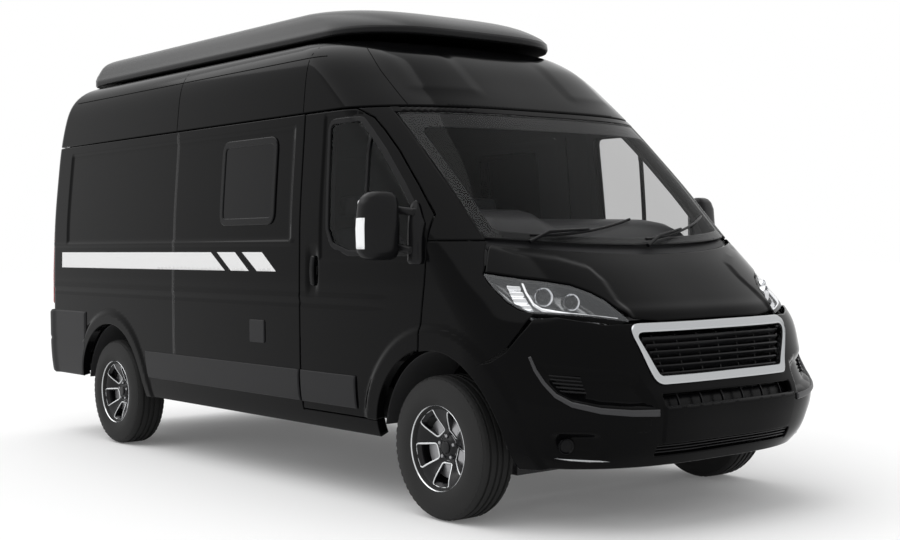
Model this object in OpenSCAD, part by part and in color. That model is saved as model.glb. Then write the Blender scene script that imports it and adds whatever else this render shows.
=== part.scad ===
// Camper van with a lifting roof, a high panel-van body on a 3450 mm wheelbase.
// +X points forward, +Y to the van's left, +Z up. The origin is on the ground, midway along the body.
// A station is a distance in mm behind the tip of the front bumper.

/* [Body] */
// Length from the front bumper's tip to the rear bumper's face
length = 5413; // [5350:1:5480]
// Width of the body at the waist
body_width = 2050; // [2020:1:2080]
// Thickness of a side wall, a door or a rear door
wall = 60; // [50:1:66]
// Thickness of the bonnet
bonnet_thick = 8; // [7:0.5:10]
// Thickness of a wing's sheet
wing_thick = 4; // [3:0.5:4.5]
// Thickness of a pane of glass
glass_thick = 6; // [4:0.5:8]
// Shut gap round a door, the bonnet or a rear door
panel_gap = 8; // [8:0.5:12]
// Gap between two pieces that are fastened to each other
seat_gap = 0.3; // [0.2:0.05:0.5]
// Height of the gutter, where the side walls end and the roof starts
gutter_z = 2000; // [1990:1:2010]
// Top of the load floor
floor_z = 535; // [525:1:545]

/* [Wheels] */
// Distance between the front and the rear wheel centres
wheelbase = 3450; // [3430:1:3470]
// Station of the front wheel centres
front_overhang = 948; // [938:1:958]
// Outer radius of a tyre
tyre_r = 341; // [335:1:345]
// Width of a tyre at its bulge
tyre_w = 214; // [205:1:220]
// Radius of a rim's bead seat
rim_r = 190.5; // [186:0.5:194]
// Distance between the centre planes of the front wheels
track_front = 1810; // [1800:1:1816]
// Distance between the centre planes of the rear wheels
track_rear = 1790; // [1780:1:1800]
// Radius of the front wheel arch
arch_front_r = 460; // [452:1:466]
// Radius of the rear wheel arch
arch_rear_r = 450; // [440:1:456]
// Radius of the spindle on which a wheel turns
spindle_r = 30; // [26:0.5:34]
// Distance of a king pin inside the centre plane of a front wheel
kingpin_set = 140; // [135:1:148]
// Radius of a king pin
kingpin_r = 14; // [12:0.5:16]
// Radial clearance of a wheel on its spindle and of a king pin in its eye
running_gap = 0.05; // [0.03:0.01:0.08]

/* [Openings] */
// Length of the side window
window_l = 525; // [480:5:560]
// Height of the side window
window_h = 440; // [400:5:470]
// Width of the lifting roof's hatch
hatch_w = 1080; // [1000:10:1140]
// Height of the lifting roof's shell
pop_h = 205; // [190:5:220]

/* [Mirrors] */
// Distance by which a mirror stands out from the body's side
mirror_reach = 229; // [215:1:240]

/* [Tow eye] */
// Radius of the threaded hole for the towing eye
tow_r = 9; // [8:0.5:10]
// Depth of the threaded hole for the towing eye
tow_l = 60; // [50:5:70]

/* [Hidden] */

$fn = 48;
eps = 0.01;
far = 1500;
half = body_width / 2;
rear_axle_s = front_overhang + wheelbase;
kingpin_y = track_front / 2 - kingpin_set;

// Sections of the body, one row per height. Columns: height, station of the nose on the centre line,
// depth of the rounded front, fullness of its corners, inset of the side from the half width,
// distance of the tail from the rear bumper's face
body_rows = [
    [290, 85, 720, 3.2, 75, 53],
    [360, 35, 720, 3.3, 40, 53],
    [450, 5, 720, 3.4, 17, 53],
    [600, 0, 700, 3.4, 3, 53],
    [670, 40, 660, 3.3, 1, 53],
    [800, 70, 660, 3.1, 0, 53],
    [930, 110, 660, 2.9, 0, 53],
    [980, 150, 660, 2.8, 0, 53],
    [1080, 270, 620, 2.8, 0, 53],
    [1200, 430, 550, 2.9, 2, 53],
    [1300, 570, 480, 3.0, 4, 53],
    [1360, 640, 460, 3.0, 5, 53],
    [1600, 880, 460, 3.2, 18, 58],
    [1800, 1085, 460, 3.2, 34, 68],
    [2000, 1300, 460, 3.2, 50, 88],
    [2150, 1480, 460, 3.2, 65, 123],
    [2270, 1640, 460, 3.2, 87, 170],
    [2340, 1790, 460, 3.2, 122, 220],
    [2390, 1930, 460, 3.2, 180, 290],
    [2415, 2080, 460, 3.2, 262, 380],
    [2425, 2230, 460, 3.2, 340, 470]];

function column(k) = [for (r = body_rows) [r[0], r[k]]];
nose_of = column(1);
depth_of = column(2);
full_of = column(3);
inset_of = column(4);
tail_of = column(5);
corner_r = 90;

// X of a station, and the reverse of the body's table: nose, depth, half width and tail at a height
function at(s) = length / 2 - s;
function nose(z) = lookup(z, nose_of);
function depth(z) = lookup(z, depth_of);
function full(z) = lookup(z, full_of);
function half_w(z) = half - lookup(z, inset_of);
function tail(z) = length - lookup(z, tail_of);

// A point of the rounded front, t mm under its surface: a turns from 0 on the centre line to 90 at the side
function skin(a, z, t = 0) =
    let (d = depth(z))
    [at(nose(z) + d - (d - t) * cos(a)),
     sign(a) * (half_w(z) - t) * pow(abs(sin(a)), 2 / full(z)), z];
// The turn of a point of the front at a given Y, and at a given station
function turn_y(y, z) = sign(y) * asin(pow(min(abs(y) / half_w(z), 1), full(z) / 2));
function turn_s(s, z) = acos(max(0, 1 - (s - nose(z)) / depth(z)));

// A point of the right side at a station, t mm under its surface
function flank(s, z, t = 0) =
    let (k = max(0, (nose(z) + depth(z) - s) / depth(z)), w = half_w(z))
    [at(s), -(w * pow(1 - k * k, 1 / full(z)) - t), z];

// A closed slab between two grids of points, columns running so that column x row points out of the outer one
module slab(outer, inner) {
    m = len(outer);
    n = len(outer[0]);
    function o(i, j) = i * n + j;
    function q(i, j) = m * n + i * n + j;
    function quad(a, b, c, d) = [[a, b, c], [a, c, d]];
    faces = concat(
        [for (i = [0:m - 2], j = [0:n - 2])
            each quad(o(i, j), o(i, j + 1), o(i + 1, j + 1), o(i + 1, j))],
        [for (i = [0:m - 2], j = [0:n - 2])
            each quad(q(i, j), q(i + 1, j), q(i + 1, j + 1), q(i, j + 1))],
        [for (i = [0:m - 2]) each quad(o(i, 0), o(i + 1, 0), q(i + 1, 0), q(i, 0))],
        [for (i = [0:m - 2]) each quad(o(i, n - 1), q(i, n - 1), q(i + 1, n - 1), o(i + 1, n - 1))],
        [for (j = [0:n - 2]) each quad(o(0, j), q(0, j), q(0, j + 1), o(0, j + 1))],
        [for (j = [0:n - 2]) each quad(o(m - 1, j), o(m - 1, j + 1), q(m - 1, j + 1), q(m - 1, j))]);
    polyhedron(concat([for (c = outer) each c], [for (c = inner) each c]), faces, convexity = 6);
}

// Side-view outline, given in X and Z, as a prism across the van; front-view outline as a prism along it
module across(y0, y1) {
    translate([0, y1, 0]) rotate([90, 0, 0]) linear_extrude(y1 - y0) children();
}
module along(s0, s1) {
    translate([at(s1), 0, 0]) rotate([90, 0, 90]) linear_extrude(s1 - s0) children();
}
module both_sides() {
    children();
    mirror([0, 1, 0]) children();
}
module rounded(r) {
    offset(r, $fn = 24) offset(delta = -r) children();
}
module outline(points) {
    polygon([for (p = points) [at(p[0]), p[1]]]);
}

// A panel of the front: columns are [y, bottom, top], with n steps of height, from depth t0 to t1 under the surface
module front_panel(cols, n, t0, t1) {
    function grid(t) = [for (c = cols) [for (j = [0:n])
        let (z = c[1] + (c[2] - c[1]) * j / n) skin(turn_y(c[0], z), z, t)]];
    slab(grid(t0), grid(t1));
}
// A panel of the right side between stations s0 and s1, with the heights zs, from depth t0 to t1
module side_panel(stations, zs, t0, t1) {
    slab([for (s = stations) [for (z = zs) flank(s, z, t0)]],
         [for (s = stations) [for (z = zs) flank(s, z, t1)]]);
}

// Both halves of a list of columns that is given for one side, from the right to the left
function mirrored(cols) = concat(
    [for (i = [len(cols) - 1:-1:0]) if (cols[i][0] > 0) [-cols[i][0], cols[i][1], cols[i][2]]], cols);

// Lower edge of the bonnet, over the grille and round the tops of the headlamps. Columns: y, height
bonnet_edge = [[0, 950], [350, 948], [490, 962], [530, 1000], [552, 1044], [591, 1080], [654, 1113],
    [744, 1132], [829, 1146], [890, 1160]];
// Lower edge of a headlamp. Columns: y, height
lamp_edge = [[515, 944], [530, 947], [552, 950], [591, 956], [654, 966], [744, 977], [829, 984], [880, 988], [905, 1010],
    [923, 1040], [935, 1100]];
bonnet_back_z = 1250;
bonnet_back_rise = 50;
bonnet_half = 890;
screen_low_z = 1292;
screen_low_rise = 38;
screen_high_z = 1962;
screen_half = 850;
// Height of the bonnet's rear edge and of the windscreen's lower edge at a given Y
function bonnet_back(y) = bonnet_back_z + bonnet_back_rise * pow(y / 845, 2);
function screen_low(y) = screen_low_z + screen_low_rise * pow(y / screen_half, 2);

// Front edge of a front door, from the arch up along the windscreen pillar. Columns: station, height
door_front = [[1050, 800], [1046, 894], [1030, 1000], [1012, 1110], [1003, 1200], [1003, 1440], [1136, 1583],
    [1314, 1762], [1435, 1870], [1525, 1942], [1640, 1990]];
door_back_s = 2085;
door_low_z = 435;
door_hinge_s = 1115;
door_hinge_y = 991;
door_hinge_zs = [890, 1110];
hinge_r = 7;
hinge_skin = 14;
sill_z = 345;
sill_front_s = 1425;
arch_z = tyre_r;

module front_arch(r) {
    translate([at(front_overhang), 0, arch_z]) rotate([90, 0, 0]) cylinder(r = r, h = 2 * far, center = true, $fn = 180);
}
module rear_arch(r) {
    translate([at(rear_axle_s), 0, arch_z]) rotate([90, 0, 0]) cylinder(r = r, h = 2 * far, center = true, $fn = 180);
}

// Outline of a front door, grown by g
module door_outline(g = 0) {
    offset(delta = g)
    difference() {
        outline(concat([[1410, door_low_z], [1050, door_low_z]], door_front,
            [[door_back_s - 40, 1992], [door_back_s, 1960], [door_back_s, door_low_z]]));
        translate([at(front_overhang), arch_z]) circle(arch_front_r + 10);
    }
}
// Outline of a front door's window, grown by g
module door_window_outline(g = 0) {
    offset(delta = g) rounded(50)
    outline([[1150, 1258], [1640, 1258], [1790, 1300], [1835, 1380], [1855, 1935], [1590, 1935], [1512, 1870],
        [1391, 1762], [1213, 1583], [1085, 1440], [1075, 1300]]);
}
side_window_s = 2385;
side_window_z = 1430;
module side_window_outline(g = 0) {
    offset(delta = g) rounded(60)
    outline([[side_window_s, side_window_z], [side_window_s + window_l, side_window_z],
        [side_window_s + window_l, side_window_z + window_h], [side_window_s, side_window_z + window_h]]);
}
// The sliding door's opening on the left
slide_s0 = 2170;
slide_s1 = 3430;
slide_low_z = 440;
slide_high_z = 1960;
module slide_outline(g = 0) {
    offset(delta = g) rounded(60)
    outline([[slide_s0, slide_low_z], [slide_s1, slide_low_z], [slide_s1, slide_high_z], [slide_s0, slide_high_z]]);
}

side_zs = [450, 600, 800, 1080, 1300, 1360, 1600, 1800, gutter_z - seat_gap];
inner_y = 950;
pillar_y = 870;
// Inner depth of a side wall: flat down to the floor and following the lean of the side above
function inner_y_at(z) = min(inner_y, half_w(z) - wall);

// The right wall from the front door to the rear pillar, round the rear corner
module side_wall() {
    s0 = door_back_s + panel_gap;
    function ring(z, t) = let (r = corner_r, e = tail(z)) concat(
        [[at(e - t), -pillar_y, z]],
        [for (b = [90:-30:0]) [at(e - r + (r - t) * sin(b)), -(half_w(z) - r + (r - t) * cos(b)), z]],
        [[at(s0), -half_w(z) + t, z]]);
    function inside(z) = let (y = inner_y_at(z)) concat(
        [[at(tail(z) - wall), -pillar_y, z]],
        [for (b = [90:-30:0]) [at(tail(z) - wall - 30 * cos(b)), -(y - 30 + 30 * cos(b)), z]],
        [[at(s0), -y, z]]);
    function turned(f) = [for (i = [0:len(f[0]) - 1]) [for (j = [0:len(f) - 1]) f[j][i]]];
    zs = concat([sill_z], side_zs);
    slab(turned([for (z = zs) ring(z, 0)]), turned([for (z = zs) inside(z)]));
    side_panel([s0, sill_front_s], [sill_z, door_low_z - panel_gap], 0, wall - 10);
    for (z = rear_hinge_zs) translate([at(rear_hinge_s), -rear_hinge_y, z]) {
        cylinder(r = hinge_r, h = 2 * leaf_z, center = true);
        for (k = [-1, 1]) translate([-13, -22, k * (leaf_z - 9) - 9]) cube([37, 22, 18]);
    }
}

// Hinges of the rear doors: a pin between two leaves on the pillar, and a barrel on the door
rear_hinge_s = tail(600) + 16;
rear_hinge_y = 866;
rear_hinge_zs = [700, 1600];
leaf_z = 49;
barrel_r = 13;
module rear_hinge_barrel(z) {
    translate([at(rear_hinge_s), -rear_hinge_y, z]) difference() {
        union() {
            cylinder(r = barrel_r, h = 60, center = true);
            translate([-9, 4, -30]) cube([32, 70, 60]);
        }
        cylinder(r = hinge_r + running_gap, h = 100, center = true);
    }
}

module wall_cuts() {
    rear_arch(arch_rear_r);
}

module side_right() {
    color("#1b1c1e") difference() {
        side_wall();
        wall_cuts();
        across(-far, 0) side_window_outline();
    }
}
module side_left() {
    color("#1b1c1e") difference() {
        mirror([0, 1, 0]) side_wall();
        wall_cuts();
        across(0, far) slide_outline();
    }
}
module sliding_door() {
    color("#1b1c1e") mirror([0, 1, 0]) difference() {
        intersection() {
            side_panel([slide_s1, slide_s0], concat([420], [for (z = side_zs) if (z > 450 && z < 1950) z], [1985]), 0, wall);
            across(-far, 0) slide_outline(-2);
        }
        across(-far, 0) side_window_outline();
    }
}
module side_windows() {
    color("#15171a", 0.5) both_sides() intersection() {
        side_panel([side_window_s + window_l + 50, side_window_s - 50],
            [side_window_z - 50, side_window_z + window_h / 2, side_window_z + window_h + 50], 4, 4 + glass_thick);
        across(-far, 0) side_window_outline(-seat_gap);
    }
}

// Outline of the body or of the lifting roof at one height, counter-clockwise from the right of the front
function plan(nose, depth, full, w, tail, r, z) = concat(
    [for (a = [-90:10:90]) [at(nose + depth * (1 - cos(a))), sign(a) * w * pow(abs(sin(a)), 2 / full), z]],
    [for (b = [0:30:90]) [at(tail - r + r * sin(b)), w - r + r * cos(b), z]],
    [for (b = [90:-30:0]) [at(tail - r + r * sin(b)), -(w - r + r * cos(b)), z]]);
function body_plan(z, t, drop) = plan(nose(z) + t, depth(z), full(z), half_w(z) - t, tail(z) - t, corner_r, z - drop);

// A closed solid round an axis, from rings of points that follow each other, the last joined to the first
module looped(rings) {
    m = len(rings);
    n = len(rings[0]);
    function id(k, i) = (k % m) * n + i % n;
    polyhedron([for (r = rings) each r],
        [for (k = [0:m - 1], i = [0:n - 1])
            each [[id(k, i), id(k + 1, i), id(k + 1, i + 1)], [id(k, i), id(k + 1, i + 1), id(k, i + 1)]]],
        convexity = 6);
}

hatch_s0 = 2420;
hatch_s1 = length - 653;
roof_wall = 45;
roof_top_z = 2425;
rear_door_top_z = 2225;
rear_door_half = 862;
roof_zs = [gutter_z, 2150, 2270, 2340, 2390, 2415, roof_top_z];
function hatch_plan(z, g) = plan(hatch_s0 - g, 260, 3.2, hatch_w / 2 + g, hatch_s1 + g, 120, z);

module roof() {
    last = len(roof_zs) - 1;
    color("#1b1c1e") difference() {
        looped(concat(
            [for (z = roof_zs) body_plan(z, 0, 0)],
            [hatch_plan(roof_top_z, 0), hatch_plan(roof_top_z - roof_wall, 0)],
            [for (k = [last:-1:0]) body_plan(roof_zs[k], roof_wall, roof_wall * k / last)]));
        translate([-length / 2 - eps, -rear_door_half - panel_gap, gutter_z - eps])
            cube([600, 2 * (rear_door_half + panel_gap), rear_door_top_z + panel_gap - gutter_z]);
    }
    color("#2e2f31") both_sides() across(-pop_hinge_y - 15, -pop_hinge_y + 15) difference() {
        union() {
            outline([[pop_hinge_s - 30, pop_hinge_z - 120], [pop_hinge_s + 25, pop_hinge_z - 120],
                [pop_hinge_s + pop_eye_r, pop_hinge_z], [pop_hinge_s - pop_eye_r, pop_hinge_z]]);
            translate([at(pop_hinge_s), pop_hinge_z]) circle(pop_eye_r);
        }
        translate([at(pop_hinge_s), pop_hinge_z]) circle(hinge_r + running_gap);
    }
}

// Shell of the lifting roof. Columns: share of its height, nose, depth, fullness, half width, tail
pop_low_z = roof_top_z + 10;
pop_rows = [
    [0, 1800, 420, 3.5, 755, 163],
    [0.17, 1790, 420, 3.5, 760, 158],
    [0.73, 2000, 420, 3.5, 700, 213],
    [0.9, 2150, 420, 3.5, 640, 263],
    [1, 2450, 420, 3.2, 500, 413]];
pop_wall = 30;
pop_corner_r = 120;
pop_hinge_s = length - 233;
pop_hinge_z = roof_top_z + 5;
pop_hinge_y = 500;
pop_eye_r = 18;
// Outline of the lug that carries the hinge's pin, from the pin
pop_lug = [[-15, -15], [60, 8], [60, 45], [-15, 16]];
function pop_plan(r, t, drop) = plan(r[1] + t, r[2], r[3], r[4] - t, length - r[5] - t, pop_corner_r,
    pop_low_z + r[0] * pop_h - drop);

// A closed cup from rings of points that rise to its crown and come back to its rim
module cup(rings) {
    m = len(rings);
    n = len(rings[0]);
    h = m / 2;
    function id(k, i) = (k % m) * n + i % n;
    polyhedron([for (r = rings) each r],
        concat([for (k = [0:m - 1], i = [0:n - 1]) if (k != h - 1)
            each [[id(k, i), id(k + 1, i), id(k + 1, i + 1)], [id(k, i), id(k + 1, i + 1), id(k, i + 1)]]],
            [[for (i = [n - 1:-1:0]) id(h - 1, i)], [for (i = [0:n - 1]) id(h, i)]]),
        convexity = 6);
}
module pop_top() {
    last = len(pop_rows) - 1;
    color("#2a2b2d") cup(concat(
        [for (r = pop_rows) pop_plan(r, 0, 0)],
        [for (k = [last:-1:0]) pop_plan(pop_rows[k], pop_wall, k == 0 ? 0 : pop_wall)]));
    color("#2e2f31") both_sides() {
        for (k = [-1, 1]) across(-pop_hinge_y + k * 26 - 9, -pop_hinge_y + k * 26 + 9)
            outline([for (p = pop_lug) [pop_hinge_s + p[0], pop_hinge_z + p[1]]]);
        translate([at(pop_hinge_s), -pop_hinge_y, pop_hinge_z]) rotate([90, 0, 0]) cylinder(r = hinge_r, h = 70, center = true);
    }
}
canvas_wall = 8;
module tent_canvas() {
    color("#6b6d70") looped([
        hatch_plan(roof_top_z + seat_gap, 40), hatch_plan(roof_top_z + 60, 40),
        hatch_plan(roof_top_z + 60, 40 - canvas_wall), hatch_plan(roof_top_z + seat_gap, 40 - canvas_wall)]);
}

module windscreen() {
    cols = mirrored([for (y = [0, 200, 400, 550, 680, 770, screen_half]) [y, screen_low(y), screen_high_z]]);
    color("#15171a", 0.4) front_panel(cols, 6, 2, 2 + glass_thick);
}

scuttle_thick = 30;
scuttle_set = 24;
wing_top_z = 1312;
bulkhead_s = 985;
bulkhead_thick = 25;
bulkhead_half = 920;
pillar_low_z = wing_top_z;
// Arm on the bulkhead whose eye holds the pin of the right door's hinge
arm_h = 40;
arm_w = 24;
arm_y = 850;
eye_r = 16;
module door_hinge_arm(z) {
    translate([0, 0, z - arm_h / 2]) linear_extrude(arm_h) difference() {
        union() {
            translate([at(door_hinge_s) - arm_w / 2, -arm_y - arm_w]) square([door_hinge_s + arm_w / 2 - bulkhead_s - 10, arm_w]);
            translate([at(door_hinge_s) - arm_w / 2, -door_hinge_y]) square([arm_w, door_hinge_y - arm_y]);
            translate([at(door_hinge_s), -door_hinge_y]) circle(eye_r);
        }
        translate([at(door_hinge_s), -door_hinge_y]) circle(hinge_r + running_gap);
    }
}
// Bracket and pin on which the bonnet's right hinge arm turns
bonnet_hinge_s = 745;
bonnet_hinge_z = 1285;
bonnet_pin_r = 5;
module bonnet_hinge_bracket() {
    across(-848, -828) outline([[736, 1276], [736, 1294], [760, 1300], [830, 1330], [830, 1290], [760, 1272]]);
    across(-860, -830) outline([[792, 1296], [792, 1322], [830, 1336], [830, 1300]]);
    translate([at(bonnet_hinge_s), -840, bonnet_hinge_z]) rotate([-90, 0, 0]) cylinder(r = bonnet_pin_r, h = 43);
}
// The windscreen pillars, the header under the roof, the scuttle and the bulkhead
module cab_frame() {
    foot_half = 510;
    foot_z = floor_z - floor_thick - 20 + seat_gap;
    zs = [pillar_low_z, 1440, 1583, 1762, 1870, 1942, gutter_z - seat_gap];
    door_edge = [for (p = door_front) [p[1], p[0]]];
    function edge_s(z) = lookup(z, door_edge) - panel_gap;
    function pillar(t) = [for (k = [0:5]) [for (z = zs)
        let (a0 = turn_y(-screen_half - 2, z), a1 = -turn_s(edge_s(z), z)) skin(a1 + (a0 - a1) * k / 5, z, t)]];
    header = mirrored([for (y = [0, 200, 400, 600, 750, screen_half + 6])
        [y, screen_high_z + seat_gap, gutter_z - 3 * seat_gap]]);
    scuttle = mirrored([for (y = [0, 200, 400, 600, 750, screen_half + 20])
        [y, bonnet_back(y) + panel_gap, screen_low(min(y, screen_half)) - seat_gap]]);
    color("#1b1c1e") {
        both_sides() difference() {
            slab(pillar(0), pillar(scuttle_thick));
            across(-far, 0) door_outline(panel_gap);
        }
        front_panel(header, 1, 1, scuttle_thick - 1);
    }
    color("#202124") {
        front_panel(scuttle, 2, scuttle_set, scuttle_set + scuttle_thick);
        difference() {
            along(bulkhead_s, bulkhead_s + bulkhead_thick)
                polygon([[-foot_half, foot_z], [foot_half, foot_z], [foot_half, 520], [560, 520], [560, 760],
                    [bulkhead_half, 860], [bulkhead_half, 1180], [800, 1186], [-800, 1186], [-bulkhead_half, 1180],
                    [-bulkhead_half, 860], [-560, 760], [-560, 520], [-foot_half, 520]]);
            front_arch_pockets();
        }
        both_sides() across(-875, -850)
            outline([[bulkhead_s + bulkhead_thick, 1150], [bulkhead_s + bulkhead_thick, 1186], [860, 1345], [800, 1345],
                [795, 1315], [bulkhead_s, 1150]]);
        for (z = door_hinge_zs) both_sides() door_hinge_arm(z);
        both_sides() bonnet_hinge_bracket();
    }
}

// Outline of the right wing. Columns: station, height
wing_outline = [[1042, 760], [658, 640], [658, 748], [571, 792], [506, 834], [459, 909], [430, 987],
    [470, 1000], [530, 1032], [590, 1078], [640, 1118], [690, 1172], [690, 1190],
    [722, 1252], [750, wing_top_z], [890, wing_top_z], [890, 1200], [1042, 1180]];
// Foremost station of the wing's sheet at a height, ahead of its outline. Columns: height, station
wing_front = [[620, 620], [745, 620], [790, 547], [830, 481], [906, 434], [985, 405], [1000, 440], [1172, 665],
    [1252, 700], [wing_top_z, 730]];
flange_s = 960;
module wings() {
    zs = [620, 745, 800, 870, 930, 980, 1030, 1080, 1140, 1200, 1260, wing_top_z - seat_gap];
    function sheet(t) = [for (k = [0:9]) [for (z = zs) flank(1120 + (lookup(z, wing_front) - 1120) * k / 9, z, t)]];
    color("#1b1c1e") both_sides() difference() {
        union() {
            intersection() {
                slab(sheet(0), sheet(wing_thick));
                across(-far, 0) difference() {
                    outline(wing_outline);
                    door_outline(panel_gap);
                }
            }
            translate([at(bulkhead_s - seat_gap), -half + wing_thick - 1, 860])
                cube([bulkhead_s - seat_gap - flange_s, half - wing_thick + 1 - bulkhead_half + 10, 240]);
        }
        front_arch(arch_front_r);
    }
}

module bonnet() {
    cols = mirrored([for (e = bonnet_edge) [e[0], e[1], e[0] > 845 ? 1240 : bonnet_back(e[0])]]);
    color("#1b1c1e") {
        front_panel(cols, 6, 0, bonnet_thick);
        both_sides() bonnet_hinge_arm();
    }
}
// Arm under the bonnet's right rear corner, with the eye of its hinge
module bonnet_hinge_arm() {
    across(-815, -805) difference() {
        union() {
            outline([[662, 1253], [697, 1284], [bonnet_hinge_s, 1294], [bonnet_hinge_s, 1276], [690, 1240]]);
            translate([at(bonnet_hinge_s), bonnet_hinge_z]) circle(9);
        }
        translate([at(bonnet_hinge_s), bonnet_hinge_z]) circle(bonnet_pin_r + running_gap);
    }
}

lamp_depth = 70;
module headlamps() {
    cols = [for (e = lamp_edge) [-e[0], e[1], min(lookup(e[0] - panel_gap, bonnet_edge), 1172) - panel_gap]];
    color("#c9ccd0") both_sides() {
        front_panel([for (i = [len(cols) - 1:-1:0]) cols[i]], 3, 2, lamp_depth);
        bonnet_buffer();
    }
}

// Rubber buffer on the right lamp's housing that carries the closed bonnet's edge
buffer_y = 694;
buffer_r = 5;
module bonnet_buffer() {
    z = lookup(buffer_y - buffer_r, bonnet_edge);
    p = skin(turn_y(-buffer_y, z), z, bonnet_thick / 2);
    translate([p[0], p[1], z - 2 * panel_gap]) cylinder(r = buffer_r, h = 2 * panel_gap - seat_gap);
}

// Top edge of the front bumper by the turn of the front. Columns: turn, height
bumper_edge = [[0, 938], [20, 938], [30, 936], [45, 972], [54, 964], [61.6, 890], [68.3, 814], [75.3, 772], [84, 728]];
bumper_low_z = 290;
bumper_nose_z = 600;
bumper_thick = 30;
// Corners of the grille. Columns: y, height
grille_corners = [[-430, 668], [430, 668], [530, 928], [-530, 928]];
tow_s = 70;
tow_y = -560;
tow_z = 500;
module bumper_front() {
    turns = [for (a = [-84:6:84]) a];
    function steps(z0, z1, n) = [for (j = [0:n - 1]) z0 + (z1 - z0) * j / n];
    function heights(top) = concat(steps(bumper_low_z, bumper_nose_z, 4), steps(bumper_nose_z, top, 6), [top]);
    function grid(t) = [for (a = turns) [for (z = heights(lookup(abs(a), bumper_edge))) skin(a, z, t)]];
    color("#1b1c1e") difference() {
        union() {
            slab(grid(0), grid(bumper_thick));
            both_sides() translate([at(rail_front_s - seat_gap), rail_y - rail_w / 2, floor_z - 140])
                cube([rail_front_s - 60, rail_w, 70]);
            translate([at(tow_s + tow_l), tow_y, tow_z]) rotate([0, 90, 0]) cylinder(r = tow_r + 12, h = tow_l);
        }
        front_arch(arch_front_r);
        along(-10, 400) offset(delta = seat_gap) polygon(grille_corners);
        along(-10, 400) polygon([[-440, 330], [440, 330], [430, 385], [-430, 385]]);
        translate([at(tow_s + tow_l) - eps, tow_y, tow_z]) rotate([0, 90, 0]) cylinder(r = tow_r, h = tow_l + 100);
        translate([at(tow_s), tow_y, tow_z]) rotate([0, 90, 0]) cylinder(r = 30, h = 100);
    }
}

bar_count = 6;
rib_count = 7;
frame_w = 36;
module grille() {
    color("#8d9094") intersection() {
        front_panel(mirrored([for (y = [0, 180, 350, 470, 540]) [y, 660, 936]]), 4, -6, 30);
        along(-30, 400) {
            difference() {
                polygon(grille_corners);
                offset(delta = -frame_w) polygon(grille_corners);
            }
            intersection() {
                polygon(grille_corners);
                union() {
                    for (k = [1:bar_count]) translate([-600, 668 + k * 260 / (bar_count + 1) - 5]) square([1200, 10]);
                    for (k = [-(rib_count - 1) / 2:(rib_count - 1) / 2])
                        translate([k * 130 - 4, 660]) square([8, 280]);
                }
            }
        }
    }
}

cheek_out = 12;
cheek_r = 110;
cheek_s = length - 653;
step_z = 417;
step_h = 85;
module bumper_rear() {
    zs = [step_z, 640, 858];
    function cap(z, t) = concat(
        [[at(length - t), -pillar_y - 20, z]],
        [for (b = [90:-15:0]) [at(length - cheek_r + (cheek_r - t) * sin(b)),
            -(half + cheek_out - cheek_r + (cheek_r - t) * cos(b)), z]],
        [[at(cheek_s), -(half + cheek_out - t), z]]);
    function turned(f) = [for (i = [0:len(f[0]) - 1]) [for (j = [0:len(f) - 1]) f[j][i]]];
    color("#2b2c2e") difference() {
        union() {
            both_sides() difference() {
                slab(turned([for (z = zs) cap(z, 0)]), turned([for (z = zs) cap(z, 90)]));
                body_corner(seat_gap);
            }
            translate([at(length), -pillar_y - 21, step_z]) cube([length - tail(600) - seat_gap, 2 * pillar_y + 42, step_h]);
        }
        rear_arch(arch_rear_r);
    }
}
// The space of the body's right side and rear corner, grown by g
module body_corner(g) {
    e = tail(600);
    translate([0, 0, 300]) linear_extrude(700) {
        translate([at(e - corner_r), -half + corner_r]) circle(corner_r + g);
        translate([at(e - corner_r), -half - g]) square([2000, 900]);
        translate([at(e) - g, -half + corner_r]) square([2000, 900]);
    }
}

module tail_lamps() {
    color("#7a1218") both_sides()
        translate([at(tail(1150)) - 12, -pillar_y - 60, 900]) cube([12 - seat_gap, 52, 520]);
}

moulding_s0 = 1575;
moulding_s1 = 3870;
module side_mouldings() {
    color("#303134") both_sides() difference() {
        side_panel([moulding_s1, door_back_s + panel_gap], [475, 500, 600, 615, 640], -14, -seat_gap);
        rear_arch(arch_rear_r);
    }
}

rail_y = 480;
rail_w = 90;
rail_front_s = 150;
rail_back_s = length - 213;
floor_thick = 40;
member_h = 70;
cab_floor_s = 1420;
cab_half = 900;
module front_arch_pockets() {
    both_sides() translate([at(front_overhang), -far, arch_z]) rotate([-90, 0, 0])
        cylinder(r = arch_front_r, h = far - 565);
}
module floor_pan() {
    y = inner_y - 2;
    front_s = bulkhead_s + bulkhead_thick + seat_gap;
    back_s = tail(floor_z) - wall - 30 - seat_gap;
    color("#26282a") difference() {
        union() {
            translate([at(back_s), -y, floor_z - floor_thick]) cube([back_s - door_back_s - 20, 2 * y, floor_thick]);
            translate([at(door_back_s + 21), -cab_half, floor_z - floor_thick])
                cube([door_back_s + 21 - cab_floor_s, 2 * cab_half, floor_thick]);
            translate([at(cab_floor_s), -700, floor_z - floor_thick]) cube([cab_floor_s - front_s, 1400, floor_thick]);
            both_sides() translate([at(rail_back_s), -rail_y - rail_w / 2, floor_z - floor_thick - 120])
                cube([rail_back_s - rail_front_s, rail_w, 100]);
            both_sides() translate([at(rail_back_s), -rail_y - rail_w / 2, floor_z - floor_thick - 21])
                cube([rail_back_s - front_s, rail_w, 22]);
            for (s = [1500, 2300, 3100, rear_axle_s - 548, rail_back_s - 50])
                translate([at(s) - 40, -cab_half, floor_z - floor_thick - member_h]) cube([80, 2 * cab_half, member_h + 1]);
        }
        both_sides() translate([at(rear_axle_s), -far, arch_z]) rotate([-90, 0, 0])
            cylinder(r = arch_rear_r, h = far - 720);
        front_arch_pockets();
    }
}

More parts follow.
